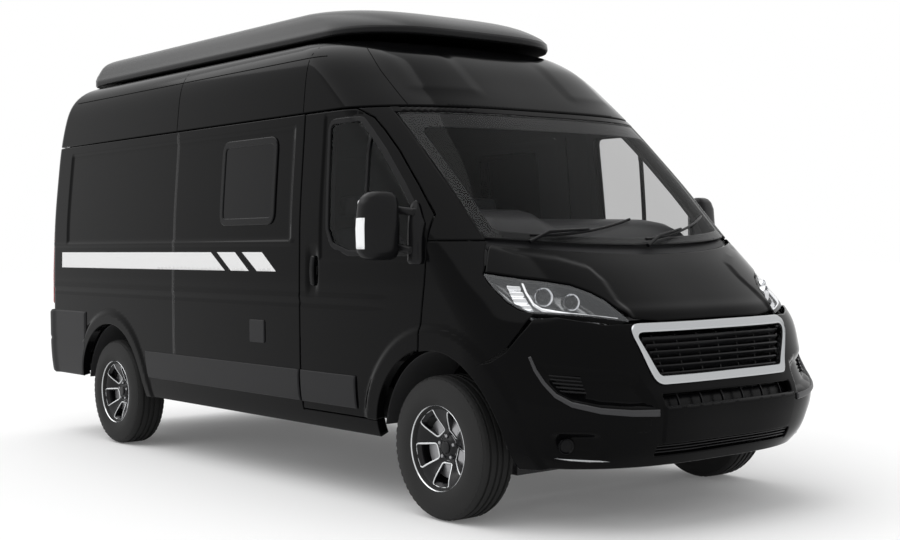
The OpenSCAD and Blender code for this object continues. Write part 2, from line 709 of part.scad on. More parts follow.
// Wheels. The rim's profile and the tyre's are given by radius and offset from the wheel's centre plane
rim_half = 82;
flange_h = 16;
module tyre_profile() {
    b = tyre_w / 2;
    r0 = rim_r + seat_gap;
    polygon([[r0, -rim_half + 2], [r0 + flange_h + 1, -rim_half + 1.3], [r0 + 30, -rim_half - 8], [r0 + 75, -b], [r0 + 110, -b + 3], [tyre_r - 12, -b + 14],
        [tyre_r, -b + 32], [tyre_r, b - 32], [tyre_r - 12, b - 14], [r0 + 110, b - 3], [r0 + 75, b],
        [r0 + 30, rim_half + 8], [r0 + flange_h + 1, rim_half - 1.3], [r0, rim_half - 2], [r0, rim_half - 20], [r0 + 75, b - 14], [tyre_r - 22, b - 30],
        [tyre_r - 18, 0], [tyre_r - 22, -b + 30], [r0 + 75, -b + 14], [r0, -rim_half + 20]]);
}
module rim_profile() {
    polygon([[rim_r - 8, -rim_half], [rim_r + flange_h, -rim_half - 6], [rim_r + flange_h, -rim_half],
        [rim_r, -rim_half + 1], [rim_r, rim_half - 1], [rim_r + flange_h, rim_half], [rim_r + flange_h, rim_half + 6],
        [rim_r - 8, rim_half], [rim_r - 24, rim_half - 20], [rim_r - 24, -rim_half + 20]]);
}
spoke_count = 5;
disc_r = 150;
// A wheel on the right: its axle lies along Y, its face at -Y
module rim() {
    face = rim_half - 26;
    rotate([90, 0, 0]) difference() {
        union() {
            rotate_extrude() rim_profile();
            rotate_extrude() polygon([[0, face - 26], [rim_r - 20, face - 8], [rim_r - 20, face + 12], [70, face - 2], [0, face - 2]]);
            translate([0, 0, -30]) cylinder(r = 72, h = face + 10);
            translate([0, 0, -30]) cylinder(r = disc_r, h = 24);
        }
        for (k = [0:spoke_count - 1]) rotate(k * 360 / spoke_count - 90) linear_extrude(200)
            rounded(14) polygon([[92, -14], [rim_r - 30, -42], [rim_r - 30, 42], [92, 14]]);
        translate([0, 0, -31]) cylinder(r = spindle_r + running_gap, h = face - 10);
    }
}
module place_wheel(s, track, side) {
    translate([at(s), side * track / 2, tyre_r]) rotate([0, 0, side > 0 ? 180 : 0]) children();
}
module tyre(s, track, side) {
    color("#17181a") place_wheel(s, track, side) rotate([90, 0, 0]) rotate_extrude() tyre_profile();
}
module wheel_rim(s, track, side) {
    color("#2c2d30") place_wheel(s, track, side) rim();
}
module tyre_front_right() { tyre(front_overhang, track_front, -1); }
module tyre_front_left() { tyre(front_overhang, track_front, 1); }
module tyre_rear_right() { tyre(rear_axle_s, track_rear, -1); }
module tyre_rear_left() { tyre(rear_axle_s, track_rear, 1); }
module rim_front_right() { wheel_rim(front_overhang, track_front, -1); }
module rim_front_left() { wheel_rim(front_overhang, track_front, 1); }
module rim_rear_right() { wheel_rim(rear_axle_s, track_rear, -1); }
module rim_rear_left() { wheel_rim(rear_axle_s, track_rear, 1); }

spindle_end = rim_half - 26 - 44;
upright_h = 260;
module knuckle() {
    translate([at(front_overhang), 0, tyre_r]) {
        translate([0, -track_front / 2 - spindle_end, 0]) rotate([-90, 0, 0])
            cylinder(r = spindle_r, h = track_front / 2 + spindle_end - kingpin_y);
        difference() {
            translate([-35, -kingpin_y - 40, -upright_h / 2]) cube([70, 70, upright_h]);
            translate([-80, -kingpin_y - 50, -50]) cube([160, 10, 100]);
        }
        translate([0, -kingpin_y, -upright_h / 2 - 40]) cylinder(r = kingpin_r, h = upright_h + 80);
    }
}
module knuckle_right() { color("#3a3b3d") knuckle(); }
module knuckle_left() { color("#3a3b3d") mirror([0, 1, 0]) knuckle(); }

// Front cross-member with the eyes that hold the king pins
eye_h = 39;
module front_axle() {
    y = rail_y + rail_w / 2 + seat_gap;
    low = tyre_r - upright_h / 2 - 40;
    color("#2e2f31") difference() {
        union() {
            for (k = [-1, 1]) translate([at(front_overhang), 0, tyre_r + k * (upright_h / 2 + 20)]) both_sides() {
                translate([0, -kingpin_y, 0]) cylinder(r = 32, h = eye_h, center = true);
                translate([-30, -kingpin_y, -18]) cube([60, kingpin_y - y, 36]);
            }
            both_sides() translate([at(front_overhang) - 60, -y - 30, low]) cube([120, 30, upright_h + 80]);
            translate([at(front_overhang) - 60, -y - 10, low]) cube([120, 2 * y + 20, 60]);
        }
        both_sides() translate([at(front_overhang), -kingpin_y, 0])
            cylinder(r = kingpin_r + running_gap, h = 1200);
    }
}

spring_y = 560;
module rear_axle() {
    y = rail_y + rail_w / 2 + seat_gap;
    color("#2e2f31") {
        translate([at(rear_axle_s), 0, tyre_r]) rotate([90, 0, 0]) {
            cylinder(r = 33, h = track_rear - 2 * 60, center = true);
            cylinder(r = spindle_r, h = track_rear + 2 * spindle_end, center = true);
        }
        both_sides() {
            translate([at(rear_axle_s) - 650, -spring_y - 35, tyre_r - 60]) cube([1300, 70, 25]);
            translate([at(rear_axle_s) - 60, -spring_y - 40, tyre_r - 65]) cube([120, 80, 65]);
            for (k = [-1, 1]) translate([at(rear_axle_s) + k * 625 - 25, -y - 35, tyre_r - 60]) cube([50, 35, 130]);
        }
    }
}

engine_w = 680;
module engine() {
    mount_y = rail_y - rail_w / 2 - seat_gap;
    color("#4a4c4f") {
        translate([at(900), -engine_w / 2, 440]) cube([520, engine_w, 470]);
        translate([at(700), -mount_y, 440]) cube([80, 2 * mount_y, 40]);
    }
}
pipe_z = floor_z - floor_thick - member_h - 95 - seat_gap;
module exhaust() {
    color("#6d6f72") {
        translate([at(3600), -260, pipe_z]) rotate([0, 90, 0]) cylinder(r = 28, h = 2300);
        translate([at(3600), -260, pipe_z]) rotate([0, 90, 0]) cylinder(r = 95, h = 700);
    }
}
tank_h = 165;
module fuel_tank() {
    color("#1d1e20") translate([at(2900), 100, floor_z - floor_thick - member_h - seat_gap - tank_h])
        cube([1000, 330, tank_h]);
}

module dashboard() {
    s = bulkhead_s + bulkhead_thick + seat_gap;
    color("#232427") across(-815, 815)
        outline([[870, 1195], [930, 1262], [1120, 1290], [1230, 1270], [1290, 1200], [1300, 1000], [1240, 800],
            [1100, 760], [s, 860], [s, 1195]]);
}
wheel_y = -430;
module steering_wheel() {
    color("#1a1b1d") translate([at(1430), wheel_y, 1150]) rotate([0, -58, 0]) {
        rotate_extrude() translate([185, 0]) circle(15);
        for (a = [90, 210, 330]) rotate(a) translate([0, -16, -10]) cube([180, 32, 14]);
        translate([0, 0, -30]) cylinder(r = 62, h = 36);
        translate([0, 0, -140.5]) cylinder(r = 28, h = 126);
    }
}
module seat(y) {
    translate([0, y, 0]) {
        translate([at(2150), -190, floor_z + seat_gap]) cube([400, 380, 200]);
        hull() for (s = [1720, 2180], k = [-1, 1]) translate([at(s), k * 200, 790]) sphere(60, $fn = 16);
        hull() for (k = [-1, 1]) {
            translate([at(2170), k * 190, 800]) sphere(65, $fn = 16);
            translate([at(2330), k * 170, 1390]) sphere(50, $fn = 16);
        }
        hull() for (k = [-1, 1], z = [1480, 1560]) translate([at(2350), k * 100, z]) sphere(45, $fn = 16);
        translate([at(2360), -10, 1380]) cube([24, 20, 100]);
    }
}
module seats() {
    color("#3c3d40") both_sides() seat(-430);
}
module furniture() {
    color("#8b7d6a") {
        translate([at(3900), -inner_y + 30, floor_z + seat_gap]) cube([850, 480, 850]);
        translate([at(rail_back_s), -600, floor_z + seat_gap]) cube([1200, 1200, 380]);
    }
}

// Front doors with their panes and mirrors, modelled on the right
slot_h = 64;
module door() {
    zs = [425, 450, 600, 800, 1000, 1110, 1200, 1300, 1440, 1583, 1762, 1870, 1942, 1995];
    front = [for (p = concat([[1050, 420]], door_front)) [p[1], p[0] - 25]];
    function grid(t) = [for (k = [0:10]) [for (z = zs)
        let (s = door_back_s + 20 + (lookup(z, front) - door_back_s - 20) * k / 10) flank(s, z, t)]];
    difference() {
        intersection() {
            slab(grid(0), grid(wall));
            across(-far, 0) door_outline();
        }
        across(-far, 0) door_window_outline();
        for (z = door_hinge_zs) translate([at(door_hinge_s + 25), -half + hinge_skin, z - slot_h / 2])
            cube([160, 200, slot_h]);
    }
    for (z = door_hinge_zs) translate([at(door_hinge_s), -door_hinge_y, z - slot_h / 2 - 1])
        cylinder(r = hinge_r, h = slot_h + 2);
}
module door_glass() {
    zs = [1240, 1440, 1600, 1800, 1945];
    front = [[1240, 1060], [1440, 1060], [1600, 1190], [1800, 1390], [1945, 1560]];
    function grid(t) = [for (k = [0:6]) [for (z = zs)
        let (s = 1880 + (lookup(z, front) - 1880) * k / 6) flank(s, z, t)]];
    intersection() {
        slab(grid(10), grid(10 + glass_thick));
        across(-far, 0) door_window_outline(-seat_gap);
    }
}
mirror_s = 1138;
module door_mirror() {
    hull() for (y = [half + 66, half + mirror_reach - 45], z = [1265, 1505]) translate([at(mirror_s), -y, z]) sphere(45, $fn = 16);
    for (z = [1290, 1430]) hull() {
        translate([at(mirror_s - 20), -half - 65, z]) sphere(18, $fn = 12);
        translate([at(1100), -half_w(z - 40) - 13.9, z - 40]) sphere(14, $fn = 12);
    }
}
module door_right() { color("#1b1c1e") door(); }
module door_left() { color("#1b1c1e") mirror([0, 1, 0]) door(); }
module door_glass_right() { color("#15171a", 0.5) door_glass(); }
module door_glass_left() { color("#15171a", 0.5) mirror([0, 1, 0]) door_glass(); }
module mirror_right() { color("#1f2022") door_mirror(); }
module mirror_left() { color("#1f2022") mirror([0, 1, 0]) door_mirror(); }

// Rear doors, modelled on the right
rear_door_low_z = 520;
rear_door_gap = 10;
rear_window = [[230, 1380], [740, 1380], [720, 1880], [230, 1880]];
module rear_window_outline(g = 0) {
    offset(delta = g) rounded(50) polygon([for (p = rear_window) [-p[0], p[1]]]);
}
module rear_leaf(t0, t1, zs) {
    y0 = rear_door_gap / 2;
    slab([for (y = [-y0, -rear_door_half]) [for (z = zs) [at(tail(z) - t0), y, z]]],
         [for (y = [-y0, -rear_door_half]) [for (z = zs) [at(tail(z) - t1), y, z]]]);
}
module rear_door() {
    difference() {
        rear_leaf(0, wall - 10, [rear_door_low_z, 1360, 1600, 1800, 2000, 2150, rear_door_top_z]);
        along(length - 500, length) rear_window_outline();
    }
    for (z = rear_hinge_zs) rear_hinge_barrel(z);
}
module rear_glass() {
    intersection() {
        rear_leaf(10, 10 + glass_thick, [1300, 1360, 1600, 1800, 1950]);
        along(length - 500, length) rear_window_outline(-seat_gap);
    }
}
module rear_door_right() { color("#1b1c1e") rear_door(); }
module rear_door_left() { color("#1b1c1e") mirror([0, 1, 0]) rear_door(); }
module rear_glass_right() { color("#15171a", 0.5) rear_glass(); }
module rear_glass_left() { color("#15171a", 0.5) mirror([0, 1, 0]) rear_glass(); }

floor_pan();
side_right();
side_left();
sliding_door();
roof();
windscreen();
cab_frame();
wings();
bumper_front();
grille();
headlamps();
bumper_rear();
tail_lamps();
side_windows();
side_mouldings();
front_axle();
rear_axle();
engine();
exhaust();
fuel_tank();
dashboard();
steering_wheel();
seats();
furniture();
tent_canvas();
door_right();
door_glass_right();
mirror_right();
door_left();
door_glass_left();
mirror_left();
rear_door_right();
rear_glass_right();
rear_door_left();
rear_glass_left();
bonnet();
pop_top();
knuckle_right();
knuckle_left();
tyre_front_right();
rim_front_right();
tyre_front_left();
rim_front_left();
tyre_rear_right();
rim_rear_right();
tyre_rear_left();
rim_rear_left();
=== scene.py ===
"""A camper van with a lifting roof: the dressed part in a plain studio."""
import math

import bpy
import bmesh
import numpy as np
from mathutils import Matrix, Vector
from mathutils.geometry import delaunay_2d_cdt


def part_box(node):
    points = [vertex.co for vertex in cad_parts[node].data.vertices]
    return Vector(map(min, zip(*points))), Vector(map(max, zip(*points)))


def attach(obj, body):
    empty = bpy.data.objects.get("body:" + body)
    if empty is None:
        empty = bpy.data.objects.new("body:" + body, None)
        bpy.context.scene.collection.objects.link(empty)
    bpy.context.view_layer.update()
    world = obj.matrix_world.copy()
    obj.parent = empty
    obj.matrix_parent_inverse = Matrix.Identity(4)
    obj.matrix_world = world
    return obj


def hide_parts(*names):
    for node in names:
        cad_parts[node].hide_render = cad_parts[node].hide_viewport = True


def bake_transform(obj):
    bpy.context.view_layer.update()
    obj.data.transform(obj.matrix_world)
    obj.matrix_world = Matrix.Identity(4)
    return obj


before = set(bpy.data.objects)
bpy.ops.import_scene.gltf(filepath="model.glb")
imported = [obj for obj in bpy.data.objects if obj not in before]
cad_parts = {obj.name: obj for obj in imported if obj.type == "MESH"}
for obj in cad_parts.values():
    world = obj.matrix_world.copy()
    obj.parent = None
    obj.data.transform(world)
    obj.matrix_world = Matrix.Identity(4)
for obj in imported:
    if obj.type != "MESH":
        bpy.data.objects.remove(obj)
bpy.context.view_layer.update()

# Driving sizes, in metres. A station is the distance behind the front bumper's tip.
NOSE_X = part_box("bumper_front")[1][0]
LENGTH = NOSE_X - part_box("bumper_rear")[0][0]
HALF = 1.025
GUTTER_Z = 2.0
AXLE_FRONT, AXLE_REAR, AXLE_Z = 0.948, 4.398, 0.341
ARCH_FRONT, ARCH_REAR = 0.46, 0.45
GAP = 0.008
CORNER_R, POP_CORNER_R = 0.09, 0.16
DOOR_BACK, DOOR_LOW = 2.085, 0.435
SILL_Z, SILL_FRONT = 0.345, 1.425
SCREEN_HALF, SCREEN_TOP = 0.85, 1.962
PILLAR_Y = 0.872
# Height of a film or a sealed joint over the skin below it
FILM = 0.0012
# The two sides, with the sign of their breadth
SIGN = {"right": -1, "left": 1}
# Side coordinates round the tail: the last true station, the corner's start and end, and the pillar's edge
LAST_S, CORNER_U, BACK_U, END_U = 4.4, 5.27, 5.41, 5.47

# Level sections of the body. Columns: height, nose station, depth and fullness of the front's curve,
# inset from half the width, and the tail's distance from the rear end
BODY_ROWS = [
    (0.29, 0.085, 0.72, 3.2, 0.075, 0.053), (0.36, 0.035, 0.72, 3.3, 0.040, 0.053),
    (0.45, 0.005, 0.72, 3.4, 0.017, 0.053), (0.60, 0.000, 0.70, 3.4, 0.003, 0.053),
    (0.67, 0.040, 0.66, 3.3, 0.001, 0.053), (0.80, 0.070, 0.66, 3.1, 0.000, 0.053),
    (0.93, 0.110, 0.66, 2.9, 0.000, 0.053), (0.98, 0.150, 0.66, 2.8, 0.000, 0.053),
    (1.08, 0.270, 0.62, 2.8, 0.000, 0.053), (1.20, 0.430, 0.55, 2.9, 0.002, 0.053),
    (1.30, 0.570, 0.48, 3.0, 0.004, 0.053), (1.36, 0.640, 0.46, 3.0, 0.005, 0.053),
    (1.60, 0.880, 0.46, 3.2, 0.018, 0.058), (1.80, 1.085, 0.46, 3.2, 0.034, 0.068),
    (2.00, 1.300, 0.46, 3.2, 0.050, 0.088), (2.15, 1.480, 0.46, 3.2, 0.065, 0.123),
    (2.27, 1.630, 0.46, 3.2, 0.087, 0.170), (2.34, 1.735, 0.46, 3.2, 0.122, 0.220),
    (2.39, 1.830, 0.46, 3.2, 0.180, 0.290), (2.415, 1.940, 0.46, 3.2, 0.262, 0.380),
    (2.425, 2.080, 0.46, 3.2, 0.340, 0.470)]
# Level sections of the lifting roof, with the same columns
POP_ROWS = [
    (2.437, 1.800, 0.42, 3.5, 0.270, 0.138), (2.470, 1.792, 0.42, 3.5, 0.266, 0.133),
    (2.520, 1.850, 0.42, 3.5, 0.285, 0.138), (2.585, 2.010, 0.42, 3.5, 0.325, 0.155),
    (2.620, 2.180, 0.42, 3.5, 0.385, 0.195), (2.637, 2.450, 0.42, 3.2, 0.525, 0.320)]


class Hull:
    """A body of level sections: a rounded front, straight sides and a tail with round corners."""
    # Breaks of the girth coordinate, from the middle of the front to the middle of the tail
    FRONT, SIDE, CORNER, TAIL = 1.5, 5.0, 5.14, 6.0

    def __init__(self, rows, corner_r):
        self.rows = np.array(rows)
        self.corner_r = corner_r
        steps = np.diff(self.rows[:, [0, 1, 4]] * (1.0, 0.5, 1.0), axis=0)
        self.knots = np.concatenate([[0], np.cumsum(np.linalg.norm(steps, axis=1))])
        self.bends = self._natural_bends()
        self.fine = np.linspace(0, self.knots[-1], 3000)
        self.fine_z = np.maximum.accumulate(self.at_knot(self.fine)[0])
        self.turns = np.linspace(0, math.pi / 2, 400)
        arc = np.stack([0.6 * np.cos(self.turns), np.sin(self.turns) ** (2 / 3.1)])
        run = np.concatenate([[0], np.cumsum(np.linalg.norm(np.diff(arc, axis=1), axis=0))])
        self.run = run / run[-1] * self.FRONT

    def _natural_bends(self):
        """Second derivatives of the natural cubic spline through the rows."""
        k, y = self.knots, self.rows
        h, n = np.diff(k), len(k)
        a, b = np.eye(n), np.zeros_like(y)
        for i in range(1, n - 1):
            a[i, i - 1:i + 2] = h[i - 1], 2 * (h[i - 1] + h[i]), h[i]
            b[i] = 6 * ((y[i + 1] - y[i]) / h[i] - (y[i] - y[i - 1]) / h[i - 1])
        return np.linalg.solve(a, b)

    def at_knot(self, v):
        """The section's columns at spline coordinate v."""
        v = np.clip(v, 0, self.knots[-1])
        i = np.clip(np.searchsorted(self.knots, v) - 1, 0, len(self.knots) - 2)
        h = self.knots[i + 1] - self.knots[i]
        p, q = (self.knots[i + 1] - v) / h, (v - self.knots[i]) / h
        y, m = self.rows, self.bends
        return (p[..., None] * y[i] + q[..., None] * y[i + 1] + (h * h / 6)[..., None]
                * ((p ** 3 - p)[..., None] * m[i] + (q ** 3 - q)[..., None] * m[i + 1])).T

    def knot(self, z):
        return np.interp(z, self.fine_z, self.fine)

    def columns(self, v):
        """Height, nose, depth, fullness, half width and tail station."""
        z, nose, depth, full, inset, tail_in = self.at_knot(np.asarray(v, float))
        return z, nose, depth, full, HALF - inset, LENGTH - tail_in

    def columns_at(self, z):
        return self.columns(self.knot(np.asarray(z, float)))

    def girth(self, u, v):
        """Point at girth coordinate u, left positive, and spline coordinate v."""
        z, nose, depth, full, half, tail = self.columns(v)
        w, side, r = np.abs(u), np.sign(u), self.corner_r
        a = np.interp(w, self.run, self.turns)
        s = nose + depth * (1 - np.cos(a))
        y = half * np.sin(a) ** (2 / full)
        along = np.clip((w - self.FRONT) / (self.SIDE - self.FRONT), 0, 1)
        s = np.where(w > self.FRONT, nose + depth + along * (tail - r - nose - depth), s)
        b = np.clip((w - self.SIDE) / (self.CORNER - self.SIDE), 0, 1) * math.pi / 2
        s = np.where(w > self.SIDE, tail - r + r * np.sin(b), s)
        y = np.where(w > self.FRONT, half - r * (1 - np.cos(b)), y)
        inward = np.clip((w - self.CORNER) / (self.TAIL - self.CORNER), 0, 1)
        y = np.where(w > self.CORNER, (half - r) * (1 - inward), y)
        return np.stack([NOSE_X - s, side * y, z], axis=-1)

    def brow(self, y, z):
        """Point of the front at the breadth y and height z."""
        nose, depth, full, half = self.columns_at(z)[1:5]
        a = np.arcsin(np.clip(np.abs(y) / half, 0, 1) ** (full / 2))
        return np.stack([NOSE_X - nose - depth * (1 - np.cos(a)), y + 0 * a, z + 0 * a], axis=-1)

    def flank(self, s, z):
        """Point of the right side at station s and height z, past the last station round the tail."""
        nose, depth, full, half, tail = self.columns_at(z)[1:]
        r = self.corner_r
        a = np.arccos(np.clip((nose + depth - s) / depth, 0, 1))
        y = half * np.sin(a) ** (2 / full)
        last = np.clip((s - LAST_S) / (CORNER_U - LAST_S), 0, 1)
        st = np.where(s > LAST_S, LAST_S + last * (tail - r - LAST_S), s)
        b = np.clip((s - CORNER_U) / (BACK_U - CORNER_U), 0, 1) * math.pi / 2
        st = np.where(s > CORNER_U, tail - r + r * np.sin(b), st)
        y = np.where(s > CORNER_U, half - r * (1 - np.cos(b)), y)
        inward = np.clip((s - BACK_U) / (END_U - BACK_U), 0, 1)
        y = np.where(s > BACK_U, half - r + inward * (PILLAR_Y - half + r), y)
        return np.stack([NOSE_X - st, -y, z + 0 * y], axis=-1)

    def girth_of_breadth(self, y, z):
        full, half = self.columns_at(z)[3:5]
        a = np.arcsin(np.clip(np.abs(y) / half, 0, 1) ** (full / 2))
        return np.sign(y) * np.interp(a, self.turns, self.run)

    def girth_of_station(self, s, z):
        nose, depth = self.columns_at(z)[1:3]
        return np.interp(np.arccos(np.clip((nose + depth - s) / depth, 0, 1)), self.turns, self.run)


body = Hull(BODY_ROWS, CORNER_R)
pop = Hull(POP_ROWS, POP_CORNER_R)


# Materials
def material(name, colour, rough, metal=0.0, spec=0.5, alpha=1.0, glow=0.0, **noise):
    m = bpy.data.materials.new(name)
    m.use_nodes = True
    b = m.node_tree.nodes["Principled BSDF"]
    b.inputs["Base Color"].default_value = (*colour, 1)
    b.inputs["Roughness"].default_value = rough
    b.inputs["Metallic"].default_value = metal
    b.inputs["Specular IOR Level"].default_value = spec
    b.inputs["Alpha"].default_value = alpha
    if glow:
        b.inputs["Emission Color"].default_value = (*colour, 1)
        b.inputs["Emission Strength"].default_value = glow
    add_noise(m.node_tree, b, rough, **noise)
    return m


def add_noise(tree, shader, rough, grain, scale, bump=0.0):
    """Uneven roughness, within grain of its value, and a fine bump."""
    nodes, links = tree.nodes, tree.links
    at = nodes.new("ShaderNodeTexCoord")
    noise = nodes.new("ShaderNodeTexNoise")
    noise.inputs["Scale"].default_value = scale
    noise.inputs["Detail"].default_value = 4
    links.new(at.outputs["Object"], noise.inputs["Vector"])
    to = nodes.new("ShaderNodeMapRange")
    to.inputs["To Min"].default_value = max(rough - grain, 0.01)
    to.inputs["To Max"].default_value = rough + grain
    links.new(noise.outputs["Fac"], to.inputs["Value"])
    links.new(to.outputs["Result"], shader.inputs["Roughness"])
    if bump:
        up = nodes.new("ShaderNodeBump")
        up.inputs["Strength"].default_value = bump
        up.inputs["Distance"].default_value = 0.002
        links.new(noise.outputs["Fac"], up.inputs["Height"])
        links.new(up.outputs["Normal"], shader.inputs["Normal"])


# Columns: colour, roughness, and the rest by name
FINISHES = {
    "paint": ((0.002, 0.002, 0.0022), 0.09, dict(spec=0.05, grain=0.02, scale=3)),
    "shell": ((0.006, 0.006, 0.0065), 0.24, dict(spec=0.13, grain=0.04, bump=0.02, scale=400)),
    "satin": ((0.030, 0.030, 0.032), 0.38, dict(spec=0.3, grain=0.05, scale=200)),
    "seal": ((0.001, 0.001, 0.001), 0.7, dict(spec=0.02, grain=0.05, scale=200)),
    "plastic": ((0.008, 0.008, 0.009), 0.46, dict(spec=0.16, grain=0.06, bump=0.10, scale=500)),
    "trim": ((0.003, 0.003, 0.0035), 0.26, dict(spec=0.10, grain=0.04, scale=80)),
    "glass": ((0.012, 0.013, 0.013), 0.03, dict(spec=0.3, alpha=0.22, grain=0.01, scale=2)),
    "tinted_glass": ((0.003, 0.003, 0.0035), 0.05, dict(spec=0.09, grain=0.01, scale=2)),
    "shaded_glass": ((0.008, 0.009, 0.009), 0.03, dict(spec=0.2, alpha=0.40, grain=0.01, scale=2)),
    "chrome": ((0.44, 0.45, 0.46), 0.20, dict(metal=1.0, grain=0.03, scale=30)),
    "lamp": ((0.30, 0.31, 0.32), 0.03, dict(alpha=0.20, grain=0.01, scale=6)),
    "reflector": ((0.82, 0.83, 0.85), 0.12, dict(metal=1.0, grain=0.04, scale=40)),
    "bezel": ((0.26, 0.265, 0.27), 0.26, dict(metal=1.0, grain=0.05, scale=60)),
    "white_lens": ((0.86, 0.87, 0.88), 0.25, dict(grain=0.05, scale=200)),
    "day_lamp": ((0.92, 0.93, 0.95), 0.30, dict(grain=0.05, scale=200, glow=0.35)),
    "red_lens": ((0.30, 0.008, 0.010), 0.12, dict(grain=0.03, scale=200)),
    "alloy": ((0.006, 0.006, 0.007), 0.22, dict(spec=0.22, grain=0.04, scale=60)),
    "machined": ((0.62, 0.63, 0.64), 0.22, dict(metal=1.0, grain=0.06, scale=300)),
    "tyre": ((0.014, 0.014, 0.014), 0.72, dict(spec=0.25, grain=0.08, bump=0.15, scale=350)),
    "iron": ((0.05, 0.05, 0.052), 0.62, dict(metal=0.4, grain=0.08, bump=0.15, scale=160)),
    "steel": ((0.35, 0.35, 0.36), 0.34, dict(metal=0.9, grain=0.08, scale=120)),
    "underbody": ((0.022, 0.022, 0.023), 0.70, dict(spec=0.3, grain=0.08, bump=0.12, scale=140)),
    "upholstery": ((0.035, 0.036, 0.040), 0.85, dict(spec=0.25, grain=0.06, bump=0.3, scale=700)),
    "lining": ((0.075, 0.075, 0.078), 0.75, dict(spec=0.3, grain=0.06, bump=0.02, scale=120)),
    "wood": ((0.30, 0.22, 0.15), 0.55, dict(spec=0.35, grain=0.08, bump=0.05, scale=40)),
    "worktop": ((0.42, 0.41, 0.39), 0.40, dict(spec=0.4, grain=0.05, scale=200)),
    "canvas": ((0.20, 0.20, 0.21), 0.9, dict(spec=0.2, grain=0.05, bump=0.35, scale=900)),
    "stripe": ((0.72, 0.72, 0.72), 0.35, dict(spec=0.4, grain=0.03, scale=50)),
}
MATS = {name: material(name, colour, rough, **rest) for name, (colour, rough, rest) in FINISHES.items()}


# Meshes
def linked(name, data):
    """A new object in the scene."""
    obj = bpy.data.objects.new(name, data)
    bpy.context.collection.objects.link(obj)
    return obj


def finish_piece(obj, on, mat, nodes=()):
    """Puts a piece on its body, if it has one and in place of its nodes."""
    if on:
        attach(obj, on)
    if nodes:
        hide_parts(*nodes)
    return obj


def mesh_piece(name, verts, faces, mats, on, nodes=(), normals=None, face_mats=None, flat=False):
    me = bpy.data.meshes.new(name)
    me.from_pydata([tuple(map(float, p)) for p in verts], [], [tuple(map(int, f)) for f in faces])
    mats = [mats] if isinstance(mats, str) else mats
    for m in mats:
        me.materials.append(MATS[m])
    if face_mats is not None:
        me.polygons.foreach_set("material_index", np.asarray(face_mats, dtype=np.int32))
    me.polygons.foreach_set("use_smooth", np.full(len(me.polygons), not flat))
    me.update()
    if normals is not None:
        me.normals_split_custom_set_from_vertices([tuple(map(float, n)) for n in normals])
    return finish_piece(linked(name, me), on, mats[0], nodes)


def mirrored_copy(obj, name):
    """The piece's mirror image, on the body's other side."""
    me = obj.data.copy()
    me.transform(Matrix.Scale(-1, 4, (0, 1, 0)))
    me.flip_normals()
    normals = [0.0] * (3 * len(obj.data.loops))
    obj.data.corner_normals.foreach_get("vector", normals)
    normals = np.array(normals).reshape(-1, 3) * (1, -1, 1)
    order = np.arange(len(normals))
    for p in obj.data.polygons:
        a, b = p.loop_start, p.loop_start + p.loop_total
        order[a:b] = [a] + list(range(b - 1, a, -1))
    me.normals_split_custom_set([tuple(v) for v in normals[order]])
    return finish_piece(linked(name, me), "body", obj.data.materials[0].name.split(".")[0])


def unit(v):
    return v / np.maximum(np.linalg.norm(v, axis=-1, keepdims=True), 1e-12)


def rect(u0, u1, v0, v1):
    """The corners of a rectangle."""
    return [(u0, v0), (u1, v0), (u1, v1), (u0, v1)]


def arc_points(s, z, r, a0, a1, n=40):
    a = np.radians(np.linspace(a0, a1, n))
    return np.stack([s + r * np.cos(a), z + r * np.sin(a)], axis=1)


def closed(points, step):
    """A closed polygon with no edge longer than step."""
    p = np.asarray(points, float)
    out = []
    for a, b in zip(p, np.roll(p, -1, axis=0)):
        n = max(int(math.ceil(np.linalg.norm(b - a) / step)), 1)
        out.extend(a + (b - a) * k / n for k in range(n))
    return np.array(out)


def rounded(points, radius, n=5):
    """A closed polygon with its corners rounded. radius is one number or one for each corner."""
    p = np.asarray(points, float)
    out = []
    for i, r in enumerate(np.broadcast_to(radius, len(p))):
        a, c, b = p[i - 1], p[i], p[(i + 1) % len(p)]
        u, v = unit(a - c), unit(b - c)
        reach = min(r / max(math.tan(math.acos(np.clip(u @ v, -1, 1)) / 2), 0.05),
                    0.49 * np.linalg.norm(a - c), 0.49 * np.linalg.norm(b - c))
        for t in np.arange(n + 1) / n:
            out.append((1 - t) ** 2 * (c + u * reach) + 2 * t * (1 - t) * c + t * t * (c + v * reach))
    return np.array(out)


def area2(p):
    q = np.roll(p, -1, axis=0)
    return float(np.sum(p[:, 0] * q[:, 1] - p[:, 1] * q[:, 0]))


def outward_of(p):
    """Directions out of a polygon at its points, for one that runs anticlockwise."""
    t = unit(np.roll(p, -1, axis=0) - np.roll(p, 1, axis=0))
    return np.stack([t[:, 1], -t[:, 0]], axis=1)


def grown(outline, by):
    """An outline moved out by a distance."""
    p = np.asarray(outline, float)
    p = p if area2(p) > 0 else p[::-1]
    return p + by * outward_of(p)


def inside(p, polygon):
    x, y = p[:, 0], p[:, 1]
    hit = np.zeros(len(p), bool)
    for (x0, y0), (x1, y1) in zip(polygon, np.roll(polygon, -1, axis=0)):
        if y0 != y1:
            hit ^= ((y0 > y) != (y1 > y)) & (x < (x1 - x0) * (y - y0) / (y1 - y0) + x0)
    return hit


def between(p, loops):
    """Which points lie inside the first loop and outside the others."""
    keep = inside(p, loops[0])
    for hole in loops[1:]:
        keep &= ~inside(p, hole)
    return keep


def smooth(x):
    x = np.clip(x, 0, 1)
    return x * x * (3 - 2 * x)


def bump_between(x, a, b, soft):
    """1 between a and b, falling to 0 over soft outside."""
    return smooth((x - a + soft) / soft) * smooth((b + soft - x) / soft)


def groove(x, at, width):
    return np.exp(-((x - at) / width) ** 2)


